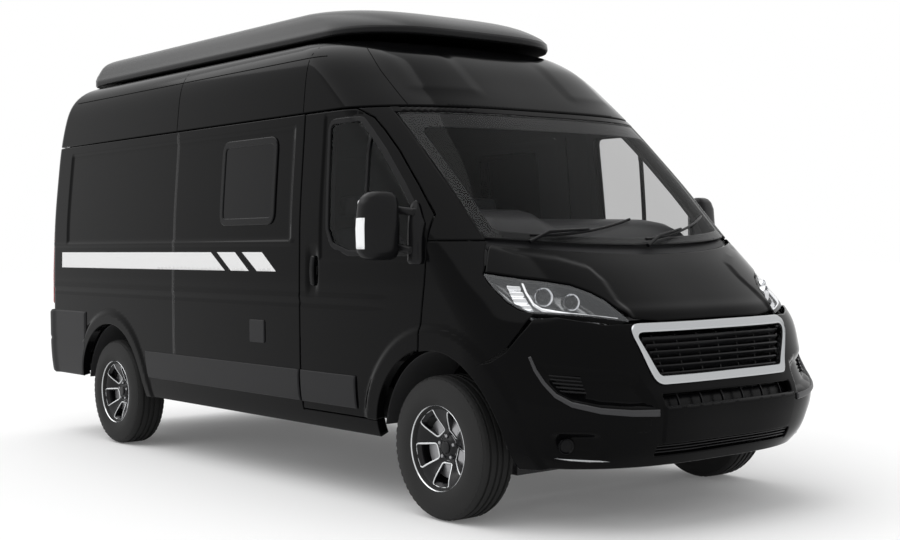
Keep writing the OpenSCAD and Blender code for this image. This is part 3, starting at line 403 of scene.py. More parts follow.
def within(polygon, u, v, soft):
    """0 outside a polygon, rising to 1 over the distance soft inside its edge."""
    p = np.stack([np.ravel(u), np.ravel(v)], axis=1)
    near = np.full(len(p), 9.0)
    for start, run in zip(polygon, np.roll(polygon, -1, axis=0) - polygon):
        t = np.clip((p - start) @ run / max(run @ run, 1e-12), 0, 1)
        near = np.minimum(near, np.linalg.norm(p - start - t[:, None] * run, axis=1))
    return np.where(inside(p, polygon), smooth(near / soft), 0.0).reshape(np.shape(u))


def slope(surface, u, v, h=4e-4):
    """Unit normals of a surface, pointing away from the van's middle."""
    n = unit(np.cross(surface(u + h, v) - surface(u - h, v), surface(u, v + h) - surface(u, v - h)))
    p = surface(u, v)
    middle = np.stack([np.clip(p[..., 0], -2.2, 1.2), 0 * p[..., 1], 0 * p[..., 2] + 1.1], axis=-1)
    return n * np.where(np.sum(n * (p - middle)) < 0, -1.0, 1.0)


def lifted(surface, lift):
    """The surface with its points moved out along its normal, by a distance or by lift(u, v)."""
    def place(u, v):
        by = lift(u, v) if callable(lift) else lift
        return surface(u, v) + slope(surface, u, v) * np.asarray(by)[..., None]
    return surface if lift is None else place


def left(surface):
    def place(u, v):
        return surface(u, v) * (1, -1, 1)
    return place


def flank(side):
    """The surface of one side of the body."""
    return body.flank if side == "right" else left(body.flank)


def level(z):
    """A level plane in the frame's own x and y."""
    def place(x, y):
        return np.stack([x, y, np.full_like(x, z)], axis=-1)
    return place


def loop_edges(loops):
    """Points of all loops, the directions out of the sheet at them, and the pairs that edges join."""
    edges = []
    first = 0
    for p in loops:
        edges.extend((first + i, first + (i + 1) % len(p)) for i in range(len(p)))
        first += len(p)
    return np.concatenate(loops), np.concatenate([outward_of(p) for p in loops]), edges


def fill_points(loops, rim, outward, step, inset):
    """Points of a ring just inside the rim and of a grid, without those that crowd the rim."""
    low, high = rim.min(axis=0) + step / 2, rim.max(axis=0)
    gx, gy = np.meshgrid(np.arange(low[0], high[0], step), np.arange(low[1], high[1], step))
    extra = np.concatenate([rim - outward * inset, np.stack([gx.ravel(), gy.ravel()], axis=1)])
    near = np.full(len(extra), 9.0)
    for part in np.array_split(rim, max(len(rim) // 200, 1)):
        near = np.minimum(near, np.min(np.linalg.norm(extra[:, None] - part[None], axis=2), axis=1))
    on_ring = np.arange(len(extra)) < len(rim)
    limit = np.where(on_ring, 0.6 * inset, 0.45 * step + inset)
    return extra[between(extra, loops) & (near > limit)]


def triangulated(loops, rim, edges, extra):
    """A cut sheet's plane points and triangles, and the places of the rim among the points."""
    flat = [Vector(p) for p in np.concatenate([rim, extra])]
    points, _, tris, sources = delaunay_2d_cdt(flat, edges, [], 0, 1e-7)[:4]
    uv, tris = np.array([tuple(p) for p in points]), np.array(tris)
    new = {k: i for i, old in enumerate(sources) for k in old}
    return uv, tris[between(uv[tris].mean(axis=1), loops)], np.array([new[k] for k in range(len(rim))])


def side_quads(verts, edges, first, count, away):
    """Faces between a sheet's upper and lower rim, turned outwards."""
    a, b = first + np.array(edges).T
    quads = np.stack([a, b, b + count, a + count], axis=1)
    n = np.cross(verts[quads[:, 1]] - verts[quads[:, 0]], verts[quads[:, 2]] - verts[quads[:, 0]])
    wrong = np.sum(n * away, axis=1) < 0
    quads[wrong] = quads[wrong][:, ::-1]
    return quads


def panel(name, surface, outline, mat, on="body", nodes=(), holes=(), step=0.03, thick=0.012, lift=None,
          roll=0.003, back=None):
    """A sheet cut to an outline with holes, in surface coordinates, with rolled edges and a back."""
    loops = [closed(p, step) for p in (outline, *holes)]
    loops = [p if (area2(p) > 0) == (k == 0) else p[::-1] for k, p in enumerate(loops)]
    rim, outward, edges = loop_edges(loops)
    extra = fill_points(loops, rim, outward, step, max(1.6 * roll, 0.004))
    uv, tris, edge = triangulated(loops, rim, edges, extra)
    place = lifted(surface, lift)
    pos, nor = place(*uv.T), slope(place, *uv.T)
    reach = 1e-3 * outward
    away = unit(place(*(rim + reach).T) - place(*(rim - reach).T))
    top, top_n = pos.copy(), nor.copy()
    top[edge] -= nor[edge] * roll
    top_n[edge] = unit(nor[edge] + 0.9 * away)
    p, q, r = (top[tris[:, k]] for k in range(3))
    turn = np.sum(np.cross(q - p, r - p) * nor[tris[:, 0]], axis=1) < 0
    tris[turn] = tris[turn][:, ::-1]
    verts, norms, faces, kinds = [top], [top_n], [tris], [np.zeros(len(tris), int)]
    if thick:
        below = pos - nor * thick
        verts += [below, top[edge], below[edge]]
        norms += [-nor, away, away]
        quads = side_quads(np.concatenate(verts), edges, 2 * len(top), len(edge), away)
        faces += [tris[:, ::-1] + len(top), quads]
        kinds += [np.full(len(tris), 1 if back else 0), np.zeros(len(quads), int)]
    return mesh_piece(name, np.concatenate(verts), [f for part in faces for f in part],
                      [mat, back] if back else mat, on, nodes, np.concatenate(norms), np.concatenate(kinds))


def outward_faces(obj):
    """Turns a piece's faces outwards and keeps its sharp edges crisp."""
    bm = bmesh.new()
    bm.from_mesh(obj.data)
    bmesh.ops.recalc_face_normals(bm, faces=bm.faces)
    bm.to_mesh(obj.data)
    bm.free()
    obj.data.set_sharp_from_angle(angle=math.radians(35))
    return obj


def loft(name, rings, mat, on, nodes=(), caps=True, looped=False):
    """A skin over rings of points, closed round each ring."""
    m, count = len(rings[0]), len(rings)
    verts = [p for ring in rings for p in ring]
    faces = []
    for j in range(count if looped else count - 1):
        a, b = j * m, (j + 1) % count * m
        faces += [(a + i, a + (i + 1) % m, b + (i + 1) % m, b + i) for i in range(m)]
    if caps and not looped:
        faces += [tuple(range(m))[::-1], tuple(range((count - 1) * m, count * m))]
    return outward_faces(mesh_piece(name, verts, faces, mat, on, nodes))


def lathe(name, profile, mat, on, centre, upright=False, nodes=(), n=96):
    """A turned piece on a crosswise or upright axis. Columns of the profile: distance along it, radius."""
    x, y, z = centre
    rings = []
    for a in 2 * math.pi * np.arange(n) / n:
        c, s = math.cos(a), math.sin(a)
        if upright:
            rings.append([(x + r * c, y + r * s, z + d) for d, r in profile])
        else:
            rings.append([(x + r * c, y + d, z + r * s) for d, r in profile])
    return loft(name, rings, mat, on, nodes, looped=True)


def turned(name, profile, mat, centre, axis, n=40):
    """A turned piece on any axis. Columns of the profile: distance along the axis, radius."""
    d = unit(np.asarray(axis, float))
    across = unit(np.cross(d, (0, 0, 1)))
    up = np.cross(across, d)
    turns = np.linspace(0, 2 * math.pi, n, endpoint=False)
    spokes = [math.cos(a) * across + math.sin(a) * up for a in turns]
    rings = [[centre + d * run + r * spoke for spoke in spokes] for run, r in profile]
    return loft(name, rings, mat, "body")


def tube(name, path, radius, mat, on="body", n=12):
    """A round bar along a path."""
    p = np.asarray(path, float)
    t = unit(np.gradient(p, axis=0))
    up = np.array([0, 0, 1.0]) if abs(t[0, 2]) < 0.9 else np.array([1.0, 0, 0])
    turns = np.linspace(0, 2 * math.pi, n, endpoint=False)
    rings = []
    for c, d, r in zip(p, t, np.broadcast_to(radius, len(p))):
        side = unit(np.cross(d, up))
        top = np.cross(side, d)
        rings.append([c + r * (math.cos(a) * side + math.sin(a) * top) for a in turns])
    return loft(name, rings, mat, on)


def block(name, low, high, mat, on="body", nodes=(), bevel=0.01):
    """A box with rounded edges."""
    bm = bmesh.new()
    bmesh.ops.create_cube(bm, size=1)
    low, high = np.array(low), np.array(high)
    for v in bm.verts:
        v.co = Vector((low + high) / 2) + Vector(np.array(v.co) * (high - low))
    bmesh.ops.bevel(bm, geom=bm.edges[:], offset=bevel, segments=3, profile=0.5, affect="EDGES")
    me = bpy.data.meshes.new(name)
    bm.to_mesh(me)
    bm.free()
    me.materials.append(MATS[mat])
    me.polygons.foreach_set("use_smooth", np.full(len(me.polygons), True))
    me.set_sharp_from_angle(angle=math.radians(50))
    return finish_piece(linked(name, me), on, mat, nodes)


# Wheel arches
def angle_at_height(z, r):
    """Angle in degrees at which an arch of radius r reaches a height."""
    return math.degrees(math.asin((z - AXLE_Z) / r))


def angle_at_station(s, axle, r):
    """Angle in degrees at which an arch of radius r round an axle reaches a station."""
    return math.degrees(math.acos((s - axle) / r))


def flare(s, z, axle, r, height, breadth):
    """The raised edge of a wheel arch."""
    d = np.hypot(s - axle, z - AXLE_Z) - r
    return height * smooth((breadth - d) / 0.045)


def rear_flare(s, z):
    return flare(s, z, AXLE_REAR, ARCH_REAR, 0.010, 0.100)


def front_flare(s, z):
    return flare(s, z, AXLE_FRONT, ARCH_FRONT, 0.012, 0.130)


# Sides, with the side window and the sliding door
SIDE_FOOT, SIDE_TOP = 0.42, GUTTER_Z - 0.006
WINDOW = rounded(rect(2.36, 2.935, 1.425, 1.885), 0.06)
SLIDER = rounded(rect(2.17, 3.43, 0.44, 1.96), 0.05)


def lower_rib(z):
    return groove(z, 1.03, 0.010) - groove(z, 0.995, 0.010)


def side_lift(s, z):
    """Pressed forms of a side: upper recess, waist rail, lower rib, a seam and the arch's flare."""
    recess = bump_between(s, 2.20, 5.05, 0.03) * bump_between(z, 1.345, 1.915, 0.03)
    rail = groove(z, 1.318, 0.009) * smooth((s - 2.13) / 0.05)
    seam = groove(s, 3.51, 0.0035) * smooth((z - 0.62) / 0.03)
    return -0.007 * recess + 0.004 * rail + 0.003 * lower_rib(z) - 0.004 * seam + rear_flare(s, z)


def side_outline():
    start, end = 180 - angle_at_height(SILL_Z, ARCH_REAR), angle_at_height(SIDE_FOOT, ARCH_REAR)
    front, sill_top = DOOR_BACK + GAP, DOOR_LOW - GAP
    return [(SILL_FRONT, SILL_Z), *arc_points(AXLE_REAR, AXLE_Z, ARCH_REAR, start, end), (END_U, SIDE_FOOT),
            (END_U, SIDE_TOP), (front, SIDE_TOP), (front, sill_top), (SILL_FRONT, sill_top)]


def glazed(name, surface, outline, on, nodes=(), lift=0.0):
    """A dark pane with a black moulded frame round it."""
    panel(name, surface, grown(outline, -0.006), "tinted_glass", on, nodes, step=0.05, thick=0.005,
          lift=lift, roll=0.001)
    panel(name + "_frame", surface, grown(outline, 0.012), "trim", on, holes=[grown(outline, -0.028)],
          step=0.04, thick=0.016, lift=lift + 0.006, roll=0.004)


def sides():
    for side, hole in (("right", WINDOW), ("left", grown(SLIDER, GAP / 2))):
        panel(f"side_skin_{side}", flank(side), side_outline(), "paint", nodes=[f"side_{side}"],
              holes=[hole], step=0.017, thick=0.05, lift=side_lift, back="lining")
    panel("sliding_door_skin", flank("left"), grown(SLIDER, -GAP / 2), "paint", nodes=["sliding_door"],
          holes=[WINDOW], step=0.02, thick=0.045, lift=side_lift, back="lining")
    glazed("side_window_right", flank("right"), WINDOW, "body", ["side_windows"], lift=-0.003)
    glazed("side_window_left", flank("left"), WINDOW, "body", lift=-0.003)


# White stripe along the side. Columns: top front, top back, bottom front and bottom back stations
STRIPES = [(3.04, 5.15, 2.875, 5.15), (2.763, 2.969, 2.607, 2.807), (2.469, 2.685, 2.322, 2.521)]
STRIPE_LOW, STRIPE_TOP = 1.157, 1.262


def stripe_lift(s, z):
    return side_lift(s, z) + FILM


def stripes():
    for k, (a, b, c, d) in enumerate(STRIPES):
        outline = [(c, STRIPE_LOW), (d, STRIPE_LOW), (b, STRIPE_TOP), (a, STRIPE_TOP)]
        for side in SIGN:
            panel(f"stripe_{side}_{k}", flank(side), outline, "stripe", step=0.05, thick=0, lift=stripe_lift,
                  roll=0)


# Rub strip along the sill, on the door and on the side, and the flap above it
MOULDING_LOW, MOULDING_TOP = 0.475, 0.64
MOULDING_FORM = dict(thick=0.010, roll=0.005)
MOULDING_DOOR = rect(1.575, DOOR_BACK - 0.004, MOULDING_LOW, MOULDING_TOP)
MOULDING_SIDE = [(DOOR_BACK + 0.012, MOULDING_LOW), (3.86, MOULDING_LOW), (3.87, 0.55),
                 (3.885, MOULDING_TOP), (DOOR_BACK + 0.012, MOULDING_TOP)]
SERVICE_FLAP = rounded(rect(2.44, 2.60, 0.762, 0.888), 0.015)


def moulding_lift(s, z):
    return 0.010 + 0.003 * bump_between(z, MOULDING_LOW + 0.03, MOULDING_TOP - 0.03, 0.02) + 0 * s


def mouldings():
    for side, nodes in (("right", ["side_mouldings"]), ("left", ())):
        panel(f"moulding_{side}", flank(side), MOULDING_SIDE, "plastic", nodes=nodes, lift=moulding_lift,
              **MOULDING_FORM)
    panel("service_flap", flank("right"), SERVICE_FLAP, "plastic", step=0.02, thick=0.010, lift=0.008,
          roll=0.004)


# Cab doors
DOOR_FRONT = [(1.046, 0.894), (1.030, 1.0), (1.012, 1.11), (1.003, 1.2), (1.003, 1.44), (1.136, 1.583),
              (1.314, 1.762), (1.435, 1.87), (1.525, 1.942), (1.64, 1.99)]
DOOR_WINDOW = rounded([(1.15, 1.258), (1.64, 1.258), (1.79, 1.30), (1.835, 1.38), (1.855, 1.935),
                       (1.59, 1.935),
                       (1.512, 1.87), (1.391, 1.762), (1.213, 1.583), (1.085, 1.44), (1.075, 1.30)], 0.05)
DOOR_ARCH, DOOR_ARCH_TOP_S, DOOR_TOP = ARCH_FRONT + 0.010, 1.05, 1.992
DOOR_DIVIDER = rect(1.490, 1.512, 1.265, 1.86)
HANDLE_Z = 1.165
DOOR_HANDLE = rounded(rect(1.945, 1.985, HANDLE_Z - 0.08, HANDLE_Z + 0.08), 0.019)


def door_outline():
    a0, a1 = angle_at_height(DOOR_LOW, DOOR_ARCH), angle_at_station(DOOR_ARCH_TOP_S, AXLE_FRONT, DOOR_ARCH)
    arch = arc_points(AXLE_FRONT, AXLE_Z, DOOR_ARCH, a0, a1, 24)
    return [(DOOR_BACK, DOOR_LOW), *arch, *DOOR_FRONT, (DOOR_BACK, DOOR_TOP)]


def door_lift(s, z):
    """Pressed forms of a door: the lower rib, the window's seat, the handle's dish and the arch's flare."""
    fade = smooth((s - 1.25) / 0.3)
    seat = -0.006 * bump_between(s, 1.0, 1.885, 0.02) * bump_between(z, 1.235, 1.96, 0.02)
    dish = -0.012 * np.exp(-(((s - 1.965) / 0.045) ** 4 + ((z - HANDLE_Z) / 0.105) ** 4))
    return 0.003 * lower_rib(z) * fade + seat + dish + front_flare(s, z)


def handle_lift(s, z):
    return 0.010 - 0.008 * ((z - HANDLE_Z) / 0.08) ** 2 + 0 * s


def door(side):
    on, surface = f"door_{side}", flank(side)
    panel(f"door_skin_{side}", surface, door_outline(), "paint", on, [f"door_{side}"], [DOOR_WINDOW], 0.018,
          0.045, door_lift, back="lining")
    panel(f"door_pane_{side}", surface, grown(DOOR_WINDOW, 0.004), "shaded_glass", on,
          [f"door_glass_{side}"], step=0.05, thick=0, lift=-0.012, roll=0)
    panel(f"door_frame_{side}", surface, grown(DOOR_WINDOW, 0.016), "trim", on,
          holes=[grown(DOOR_WINDOW, -0.012)], thick=0.014, lift=-0.003)
    panel(f"door_divider_{side}", surface, DOOR_DIVIDER, "trim", on, step=0.05, thick=0.016, lift=-0.004,
          roll=0.002)
    panel(f"door_handle_{side}", surface, DOOR_HANDLE, "trim", on, step=0.01, thick=0.018, lift=handle_lift,
          roll=0.006)
    panel(f"door_moulding_{side}", surface, MOULDING_DOOR, "plastic", on, lift=moulding_lift,
          **MOULDING_FORM)


# Bonnet, breadth and height: its front edge, its side edge from the lamp up to the screen, and its crease
BONNET_EDGE = [(0, 0.950), (0.35, 0.948), (0.49, 0.962), (0.53, 1.0), (0.552, 1.044), (0.591, 1.08),
               (0.654, 1.113), (0.744, 1.132), (0.829, 1.146), (0.89, 1.16)]
BONNET_SIDE = [(0.928, 1.170), (0.905, 1.215), (0.878, 1.26), (0.860, 1.285)]
BONNET_CREASE = [(0.505, 0.985), (0.52, 1.04), (0.497, 1.127), (0.51, 1.173), (0.614, 1.211), (0.774, 1.238),
                 (0.87, 1.275)]
BONNET_HALF = 0.845
# Sunk middle of the bonnet, bounded by the crease on each side
BONNET_CENTRE = np.array(BONNET_CREASE + [(0.9, 1.45), (-0.9, 1.45)]
                         + [(-y, z) for y, z in BONNET_CREASE[::-1]] + [(-0.505, 0.8), (0.505, 0.8)])


def both(points):
    """A left half's edge, from the middle outwards, with its mirror image."""
    return [(-y, z) for y, z in points[::-1]] + [(y, z) for y, z in points if y > 0]


def bonnet_back(y):
    return 1.25 + 0.05 * (np.minimum(np.abs(y), BONNET_HALF) / BONNET_HALF) ** 2


def screen_low(y):
    return 1.292 + 0.038 * (np.minimum(np.abs(y), SCREEN_HALF) / SCREEN_HALF) ** 2


def along(line, ys, rise=0.0, stretch=1.0):
    """Breadth and height pairs of a line, raised and stretched sideways."""
    return [(stretch * y, line(y) + rise) for y in ys]


def bonnet_lift(y, z):
    return 0.002 - 0.008 * within(BONNET_CENTRE, y, z, 0.04) + 0.007 * groove(z, 0.985, 0.03)


def bonnet():
    ys = np.linspace(BONNET_HALF, -BONNET_HALF, 25)
    outline = both(BONNET_EDGE + BONNET_SIDE) + along(bonnet_back, ys)
    panel("bonnet_skin", body.brow, outline, "paint", "bonnet", ["bonnet"], step=0.013, thick=0.010,
          lift=bonnet_lift, roll=0.004)


# Windscreen: half the breadth and the top of its clear part, and half the breadth of the header above it
CLEAR_HALF, CLEAR_TOP, HEADER_HALF = 0.945 * SCREEN_HALF, SCREEN_TOP - 0.075, 0.86


def windscreen():
    ys = np.linspace(-SCREEN_HALF, SCREEN_HALF, 31)
    outline = along(screen_low, ys) + [(SCREEN_HALF, SCREEN_TOP), (-SCREEN_HALF, SCREEN_TOP)]
    clear = along(screen_low, ys, 0.035, 0.93) + [(CLEAR_HALF, CLEAR_TOP), (-CLEAR_HALF, CLEAR_TOP)]
    panel("windscreen_pane", body.brow, outline, "glass", nodes=["windscreen"], step=0.05, thick=0, roll=0)
    panel("windscreen_band", body.brow, outline, "trim", holes=[rounded(clear, 0.05)], step=0.04,
          thick=0.002, lift=-0.008, roll=0)
    header = rect(-HEADER_HALF, HEADER_HALF, SCREEN_TOP + 0.004, GUTTER_Z - 0.004)
    panel("screen_header", body.brow, header, "paint", thick=0.018)
    scuttle = along(bonnet_back, ys, -0.03, 1.02) + along(screen_low, ys[::-1], 0.03, 1.02)
    panel("scuttle_panel", body.brow, scuttle, "plastic", step=0.02, thick=0.006, lift=-0.024, roll=0.002)


PILLAR_HEIGHTS = np.array([1.318, 1.36, 1.44, 1.583, 1.762, 1.87, 1.942, 1.994])


def pillar(side):
    """The screen pillar between the screen's edge and the door's edge."""
    z = PILLAR_HEIGHTS
    edge = np.array(DOOR_FRONT)
    door_s = np.interp(z, edge[:, 1], edge[:, 0]) - GAP
    screen_s = NOSE_X - body.brow(np.full_like(z, -SCREEN_HALF - 0.003), z)[:, 0]
    outline = np.concatenate([np.stack([door_s, z], axis=1), np.stack([screen_s, z], axis=1)[::-1]])
    panel(f"screen_pillar_{side}", flank(side), outline, "paint",
          nodes=["cab_frame"] if side == "right" else (), step=0.02, thick=0.03, roll=0.004)


# Edge of a wing above its arch, station and height
WING = [(0.628, 0.745), (0.553, 0.788), (0.487, 0.83), (0.440, 0.906), (0.413, 0.985), (0.47, 1.0),
        (0.53, 1.032),
        (0.59, 1.078), (0.64, 1.118), (0.682, 1.163), (0.688, 1.19), (0.722, 1.252), (0.75, 1.312),
        (0.995, 1.312), (0.995, 1.2), (1.004, 1.11), (1.022, 1.0), (1.038, 0.894), (1.042, 0.803)]
WING_ENDS = (1.042, 0.64)


def wings():
    a0, a1 = (angle_at_station(s, AXLE_FRONT, ARCH_FRONT) for s in WING_ENDS)
    outline = [*arc_points(AXLE_FRONT, AXLE_Z, ARCH_FRONT, a0, a1, 24), *WING]
    skin = panel("wing_skin_right", body.flank, outline, "paint", nodes=["wings"], step=0.016, thick=0.004,
                 lift=front_flare)
    mirrored_copy(skin, "wing_skin_left")


# Grille and bumper, breadth and height. The bumper's top edge has turns round the front in degrees instead
GRILLE_LOW, GRILLE_TOP = 0.668, 0.928
GRILLE = [(-0.43, GRILLE_LOW), (0.43, GRILLE_LOW), (0.53, GRILLE_TOP), (-0.53, GRILLE_TOP)]
BUMPER_EDGE = [(0, 0.938), (20, 0.938), (30, 0.936), (45, 0.972), (54, 0.964), (61.6, 0.89), (68.3, 0.814),
               (75.3, 0.772)]
BUMPER_ARCH_Z = 0.733
# Openings of the bumper. Columns: name, half breadth below, half breadth above, low, top
BUMPER_SLOTS = [("slot_row", 0.445, 0.45, 0.574, 0.628), ("lower_grille", 0.465, 0.465, 0.345, 0.398)]
SLOT_POSTS = (-0.36, -0.215, -0.07, 0.07, 0.215, 0.36)
BONNET_SEAL = rect(-0.50, 0.50, 0.915, 0.968)
TOW_CAP = rect(-0.594, -0.524, 0.464, 0.522)
# Hollow below a lamp: its lower lip from the outer end inwards, and its top edge back again
HOLLOW_LIP = [(0.922, 0.80), (0.913, 0.743), (0.897, 0.687), (0.875, 0.637), (0.836, 0.603), (0.742, 0.576),
              (0.619, 0.563), (0.485, 0.558)]
HOLLOW_TOP = [(0.500, 0.63), (0.53, 0.715), (0.61, 0.742), (0.74, 0.752), (0.88, 0.778)]
# Louvres in the hollow: their number, and the inner and outer ends of the lowest and the highest
LOUVRES = 5
LOUVRE_LOW = np.array([(0.775, 0.647), (0.872, 0.654)])
LOUVRE_TOP = np.array([(0.78, 0.708), (0.888, 0.718)])
FOG_Y, FOG_Z = 0.829, 0.407
FOG_BOWL = [(-0.03, 0.030), (0.018, 0.036), (0.020, 0.034), (0.016, 0.030), (-0.006, 0.004)]
FOG_LENS = [(0.0, 0.030), (0.012, 0.0295), (0.015, 0.022), (0.0165, 0.002)]
FOG_TRIM = [(0.848, 0.352), (0.80, 0.340), (0.73, 0.333), (0.655, 0.334), (0.70, 0.341), (0.78, 0.347)]
PLATE_HALF, PLATE_LOW, PLATE_TOP = 0.458, 0.415, 0.564


def front_skin(u, z):
    return body.girth(u, body.knot(z))


def front_uv(points):
    """Breadth and height pairs of an open line as girth and height pairs."""
    p = np.asarray(points, float)
    return np.stack([body.girth_of_breadth(p[:, 0], p[:, 1]), p[:, 1]], axis=1)


def to_girth(points):
    """A closed outline's breadth and height pairs as girth and height pairs."""
    return front_uv(closed(points, 0.03))


def front_panel(name, outline, mat, **form):
    return panel(name, front_skin, to_girth(outline), mat, **form)


def corner_panel(name, side, outline, mat, **form):
    """A panel on one side of the front, from the left one's girth and height pairs."""
    return panel(name, front_skin, outline * (SIGN[side], 1), mat, **form)


def front_point(side, y, z):
    return body.brow(np.array([y]), np.array([z]))[0] * (1, SIGN[side], 1)


HOLLOW = to_girth(HOLLOW_LIP + HOLLOW_TOP)


def slot_outline(row):
    w0, w1, low, top = row[1:]
    return rounded([(-w0, low), (w0, low), (w1, top), (-w1, top)], 0.012)


def bumper_lift(u, z):
    """The hollows below the lamps, the plate's flat, the fog lamps' hollows and the arch's flare."""
    y = np.abs(u)
    fog_u = float(body.girth_of_breadth(FOG_Y, FOG_Z))
    fog = -0.035 * np.exp(-(((y - fog_u + 0.04) / 0.12) ** 4 + ((z - FOG_Z) / 0.05) ** 4))
    hollow = -0.032 * within(HOLLOW, y, z, 0.05) * smooth((0.80 - z) / 0.12)
    plate = 0.010 * bump_between(y, -1, PLATE_HALF, 0.012) * bump_between(z, PLATE_LOW, PLATE_TOP, 0.010)
    return fog + hollow + plate + front_flare(NOSE_X - front_skin(u, z)[..., 0], z)


def bumper_outline():
    top = [(np.interp(math.radians(turn), body.turns, body.run), z) for turn, z in BUMPER_EDGE]
    start = 180 - angle_at_height(BUMPER_ARCH_Z, ARCH_FRONT)
    arch = arc_points(AXLE_FRONT, AXLE_Z, ARCH_FRONT, start, 186, 24)
    return both(top + [(float(body.girth_of_station(s, z)), z) for s, z in arch])


def bumper():
    openings = [rounded(grown(GRILLE, -0.012), 0.05)] + [slot_outline(row) for row in BUMPER_SLOTS]
    panel("bumper_skin", front_skin, bumper_outline(), "paint", nodes=["bumper_front"],
          holes=[to_girth(p) for p in openings], step=0.012, thick=0.022, lift=bumper_lift, roll=0.004)
    front_panel("bonnet_seal", BONNET_SEAL, "seal", thick=0.004, lift=-0.030, roll=0)
    for row in BUMPER_SLOTS:
        front_panel(f"bumper_{row[0]}_well", grown(slot_outline(row), 0.008), "trim", thick=0.004,
                    lift=-0.045, roll=0)
    low, top = BUMPER_SLOTS[0][3:]
    for k, y in enumerate(SLOT_POSTS):
        post = rect(y - 0.0025, y + 0.0025, low - 0.004, top + 0.004)
        front_panel(f"bumper_slot_post_{k}", post, "trim", thick=0.010, lift=-0.010, roll=0)
    for k in range(3):
        z = BUMPER_SLOTS[1][3] + 0.010 + 0.015 * k
        bar = rect(-0.462, 0.462, z, z + 0.006)
        front_panel(f"bumper_low_bar_{k}", bar, "shell", thick=0.02, lift=-0.008, roll=0.002)
    front_panel("tow_cap", TOW_CAP, "paint", step=0.02, thick=0.006, lift=0.002, roll=0.002)
    for side in SIGN:
        bumper_corner(side)


def bumper_corner(side):
    """The lip, louvres and fog lamp on one side of the bumper."""
    lip = front_uv(HOLLOW_LIP)
    way = unit(np.gradient(lip, axis=0))
    out = np.stack([-way[:, 1], way[:, 0]], axis=1)
    breadth = np.linspace(0.010, 0.026, len(lip))[:, None]
    band = np.concatenate([lip - 0.004 * out, (lip + breadth * out)[::-1]])
    corner_panel(f"bumper_lip_{side}", side, band, "satin", step=0.014, thick=0.02, lift=0.011, roll=0.006)
    for k in range(LOUVRES):
        a, b = LOUVRE_LOW + (LOUVRE_TOP - LOUVRE_LOW) * k / (LOUVRES - 1)
        slat = front_uv([a, b, b + (0, 0.007), a + (0, 0.007)])
        corner_panel(f"bumper_louvre_{side}_{k}", side, slat, "shell", thick=0.02, lift=-0.018, roll=0.002)
    axis = np.array([0.9, 0.42 * SIGN[side], 0.0])
    centre = front_point(side, FOG_Y, FOG_Z) - 0.034 * unit(axis)
    turned(f"fog_bowl_{side}", FOG_BOWL, "trim", centre, axis)
    turned(f"fog_lens_{side}", FOG_LENS, "trim", centre, axis)
    corner_panel(f"fog_trim_{side}", side, front_uv(FOG_TRIM), "chrome", step=0.02, thick=0.012, lift=0.003,
                 roll=0.002)


SLATS, RIBS, RIB_SPACING = 6, 7, 0.127


def grille():
    """The framed grille: a chrome surround, slats with ribs behind, and a dark well."""
    outer = rounded(grown(GRILLE, 0.006) * (1.04, 1), 0.055, 8)
    inner = rounded(grown(GRILLE, -0.034), 0.03, 8)
    front_panel("grille_surround", outer, "chrome", nodes=["grille"], holes=[to_girth(inner)], step=0.016,
                thick=0.035, lift=0.016, roll=0.008)
    front_panel("grille_well", GRILLE, "trim", step=0.04, thick=0.004, lift=-0.06, roll=0)
    low, top = GRILLE_LOW + 0.034, GRILLE_TOP - 0.034
    for j in range(SLATS):
        z = low + (top - low) * (j + 0.5) / SLATS
        w = 0.402 + 0.085 * (z - low) / (top - low)

        def tilt(u, v, z=z):
            return -0.010 - 0.9 * (v - z) + 0 * u
        front_panel(f"grille_slat_{j}", rect(-w, w, z - 0.005, z + 0.003), "shell", thick=0.035, lift=tilt,
                    roll=0.002)
    for j in range(RIBS):
        y = RIB_SPACING * (j - (RIBS - 1) / 2)
        rib = [(y - 0.003, low + 0.005), (y + 0.003, low + 0.005), (y * 1.1 + 0.003, top - 0.005),
               (y * 1.1 - 0.003, top - 0.005)]
        front_panel(f"grille_rib_{j}", rib, "shell", thick=0.02, lift=-0.020, roll=0.001)


# Headlamp, breadth and height: the lens's lower edge, its inner and outer top corners, the day lamp's line,
# and the fluted outer reflector
LAMP_LOW = [(0.515, 0.944), (0.591, 0.956), (0.654, 0.966), (0.744, 0.977), (0.829, 0.984), (0.88, 0.988),
            (0.905, 1.01), (0.923, 1.04), (0.935, 1.10)]
LAMP_INNER, LAMP_OUTER = (0.515, 0.952), (0.938, 1.164)
DAY_LINE = np.array([(0.832, 1.128), (0.843, 1.085), (0.846, 1.035), (0.828, 1.008), (0.78, 0.996),
                     (0.72, 0.986), (0.62, 0.974), (0.555, 0.966)])
FLUTE = [(0.886, 1.135), (0.902, 1.05), (0.880, 1.003), (0.858, 1.000), (0.856, 1.06), (0.843, 1.130)]
# Round reflectors. Columns: breadth, height, radius
ROUNDS = [(0.790, 1.058, 0.040), (0.700, 1.034, 0.036)]
# A reflector's tip: distance along the axis, radius
ROUND_TIP = (-0.018, 0.004)
# Turned forms of the rest of a reflector and of its bulb: distance along the axis, share of the radius
ROUND_BOWL = [(-0.014, 0.45), (-0.002, 0.78), (0.022, 1), (0.025, 1.06), (0.020, 1.1), (-0.022, 1)]
ROUND_BULB = [(-0.018, 0.36), (0.002, 0.36), (0.007, 0.16), (0.009, 0.03)]


def lamp_outline():
    top = [(y + 0.008, z - 0.008) for y, z in BONNET_EDGE if y > 0.5]
    return to_girth(rounded(LAMP_LOW + [LAMP_OUTER] + top[::-1] + [LAMP_INNER], 0.008, 3))


def bowl_lift(u, z):
    return -0.080 - 0.012 * np.sin(38 * u + 20 * z)


def flute_lift(u, z):
    return -0.028 + 0.004 * np.sin(220 * z) + 0 * u


